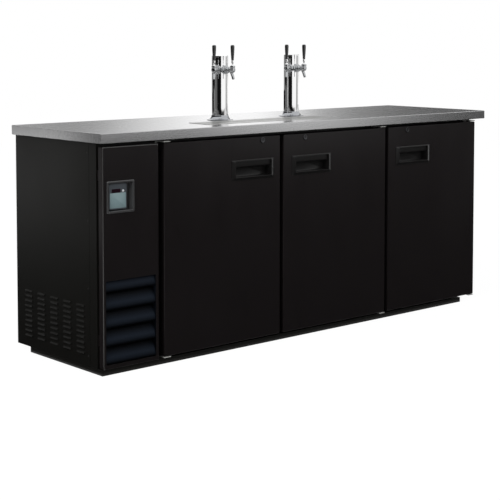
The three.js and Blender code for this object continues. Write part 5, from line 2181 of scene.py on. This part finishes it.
    def lamps(self) -> None:
        """Makes two soft lamps: the stronger one high on the left, the weaker one in front."""
        lamps = (
            ("left lamp", (-5.0, -1.5, 3.6), 150.0),
            ("front lamp", (1.5, -5.5, 3.2), 90.0),
        )
        for name, place, power in lamps:
            data = bpy.data.lights.new(name, "AREA")
            data.shape = "DISK"
            data.size = self.lamp_size
            data.energy = power
            lamp = bpy.data.objects.new(name, data)
            lamp.location = place
            lamp.rotation_euler = (Vector(self.aim) - Vector(place)).to_track_quat("-Z", "Y").to_euler()
            lamp.visible_camera = False
            lamp.visible_glossy = False
            bpy.context.scene.collection.objects.link(lamp)

    def left_card(self) -> None:
        """Makes the dark wall from behind round the left to the front, for the columns.

        Up to 0.7 m it turns from dark to plain white towards its end behind.
        """
        angle = np.radians(np.linspace(175, 335, 40))
        behind = np.interp(angle, np.radians((248, 266)), (1.0, 0.0))
        x, y = self.wall_radius * np.sin(angle), -self.wall_radius * np.cos(angle)
        self.card("left card", [
            (x, y, 0.01, 0.12 + 0.88 * behind),
            (x, y, 0.35, 0.1 + 0.9 * behind),
            (x, y, 0.6, 0.03 + 0.97 * behind),
            (x, y, 0.71, self.card_black),
            (x, y, 3.2, self.card_black),
        ])

    def front_card(self) -> None:
        """Makes the card in front, for the doors and the worktop's edge.

        It is dark on the floor and up to 0.69 m, and above that it is lit in step with the edge.
        """
        y, near, floor = -1.5, -0.31, 0.004
        x = np.linspace(-1.2, 3.8, 60)
        tone = np.interp(x, self.edge_places, self.edge_tones)
        head = np.interp(x, (1.2, 1.6), (0.89, 1.2))
        self.card("front card", [
            (x, near, floor, self.card_black),
            (x, y, floor, self.card_black),
            (x, y, 0.69, self.card_black),
            (x, y, 0.75, tone),
            (x, y, head, tone),
        ])

    def back_card(self) -> None:
        """Makes the card behind, lit in step with the worktop's top."""
        y, foot = 1.2, 1.0
        x = np.linspace(-0.62, 3.8, 60)
        tone = np.interp(x, self.top_places, self.top_tones)
        head = np.interp(x, (0.9, 1.6), (1.7, 2.8))
        self.card("back card", [(x, y, foot, tone), (x, y, head, tone)])

    def side_card(self) -> None:
        """Makes the card left of the side panel, along the floor and then up, a little brighter far away."""
        x, edge, floor = -3.6, -1.13, 0.005
        y = np.linspace(-0.33, 4.2, 30)
        far = np.interp(y, (2.2, 2.9), (0.1, 1.0))
        self.card("side card", [
            (edge, y, floor, 0.015 * far),
            (-2.2, y, floor, 0.05 * far),
            (x, y, floor, 0.2 * far),
            (x, y, 0.9, 0.85 * far),
        ])

    def corner_card(self) -> None:
        """Makes the small dark card beside the worktop, which shades its left end near the front corner."""
        x, foot, head = -1.6, 0.55, 1.15
        y = np.linspace(-0.3, 0.55, 20)
        tone = np.interp(y, (0.35, 0.55), (0.11, 0.3))
        self.card("corner card", [(x, y, foot, tone), (x, y, head, tone)])

    @staticmethod
    def card(name: str, rows: Sequence[tuple]) -> None:
        """Hangs a card on rows of points, seen only in reflections.

        Args:
            name: The card's name.
            rows: The x, y, z and brightness of each row's points, with a number where it is the same for all.
        """
        points = np.array([np.column_stack(np.broadcast_arrays(*row)) for row in rows])
        count = points.shape[1]
        row, first = np.meshgrid(np.arange(len(rows) - 1), np.arange(count - 1), indexing="ij")
        corner = row * count + first
        faces = np.stack([corner, corner + 1, corner + 1 + count, corner + count], axis=-1).reshape(-1, 4)
        mesh = bpy.data.meshes.new(name)
        mesh.from_pydata(points[..., :3].reshape(-1, 3).tolist(), [], faces.tolist())
        mesh.attributes.new("tone", "FLOAT", "POINT").data.foreach_set("value", points[..., 3].flatten())
        material = bpy.data.materials.new(name)
        material.use_nodes = True
        tree = material.node_tree
        glow = tree.nodes.new("ShaderNodeEmission")
        tone = tree.nodes.new("ShaderNodeAttribute")
        tone.attribute_name = "tone"
        tree.links.new(tone.outputs["Fac"], glow.inputs["Strength"])
        tree.links.new(glow.outputs[0], tree.nodes["Material Output"].inputs["Surface"])
        mesh.materials.append(material)
        card = bpy.data.objects.new(name, mesh)
        bpy.context.scene.collection.objects.link(card)
        card.visible_camera = False
        card.visible_diffuse = False
        card.visible_shadow = False
        card.visible_transmission = False


def main() -> None:
    """Loads the frame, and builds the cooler's looks and the studio."""
    logging.basicConfig(level=logging.INFO, format="%(name)s: %(message)s")
    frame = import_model()
    Studio().build()
    shop = Workshop(frame)
    Cabinet().build(shop)
    for number in (1, 2):
        Tower(number).build(shop)


if __name__ == "__main__":
    main()
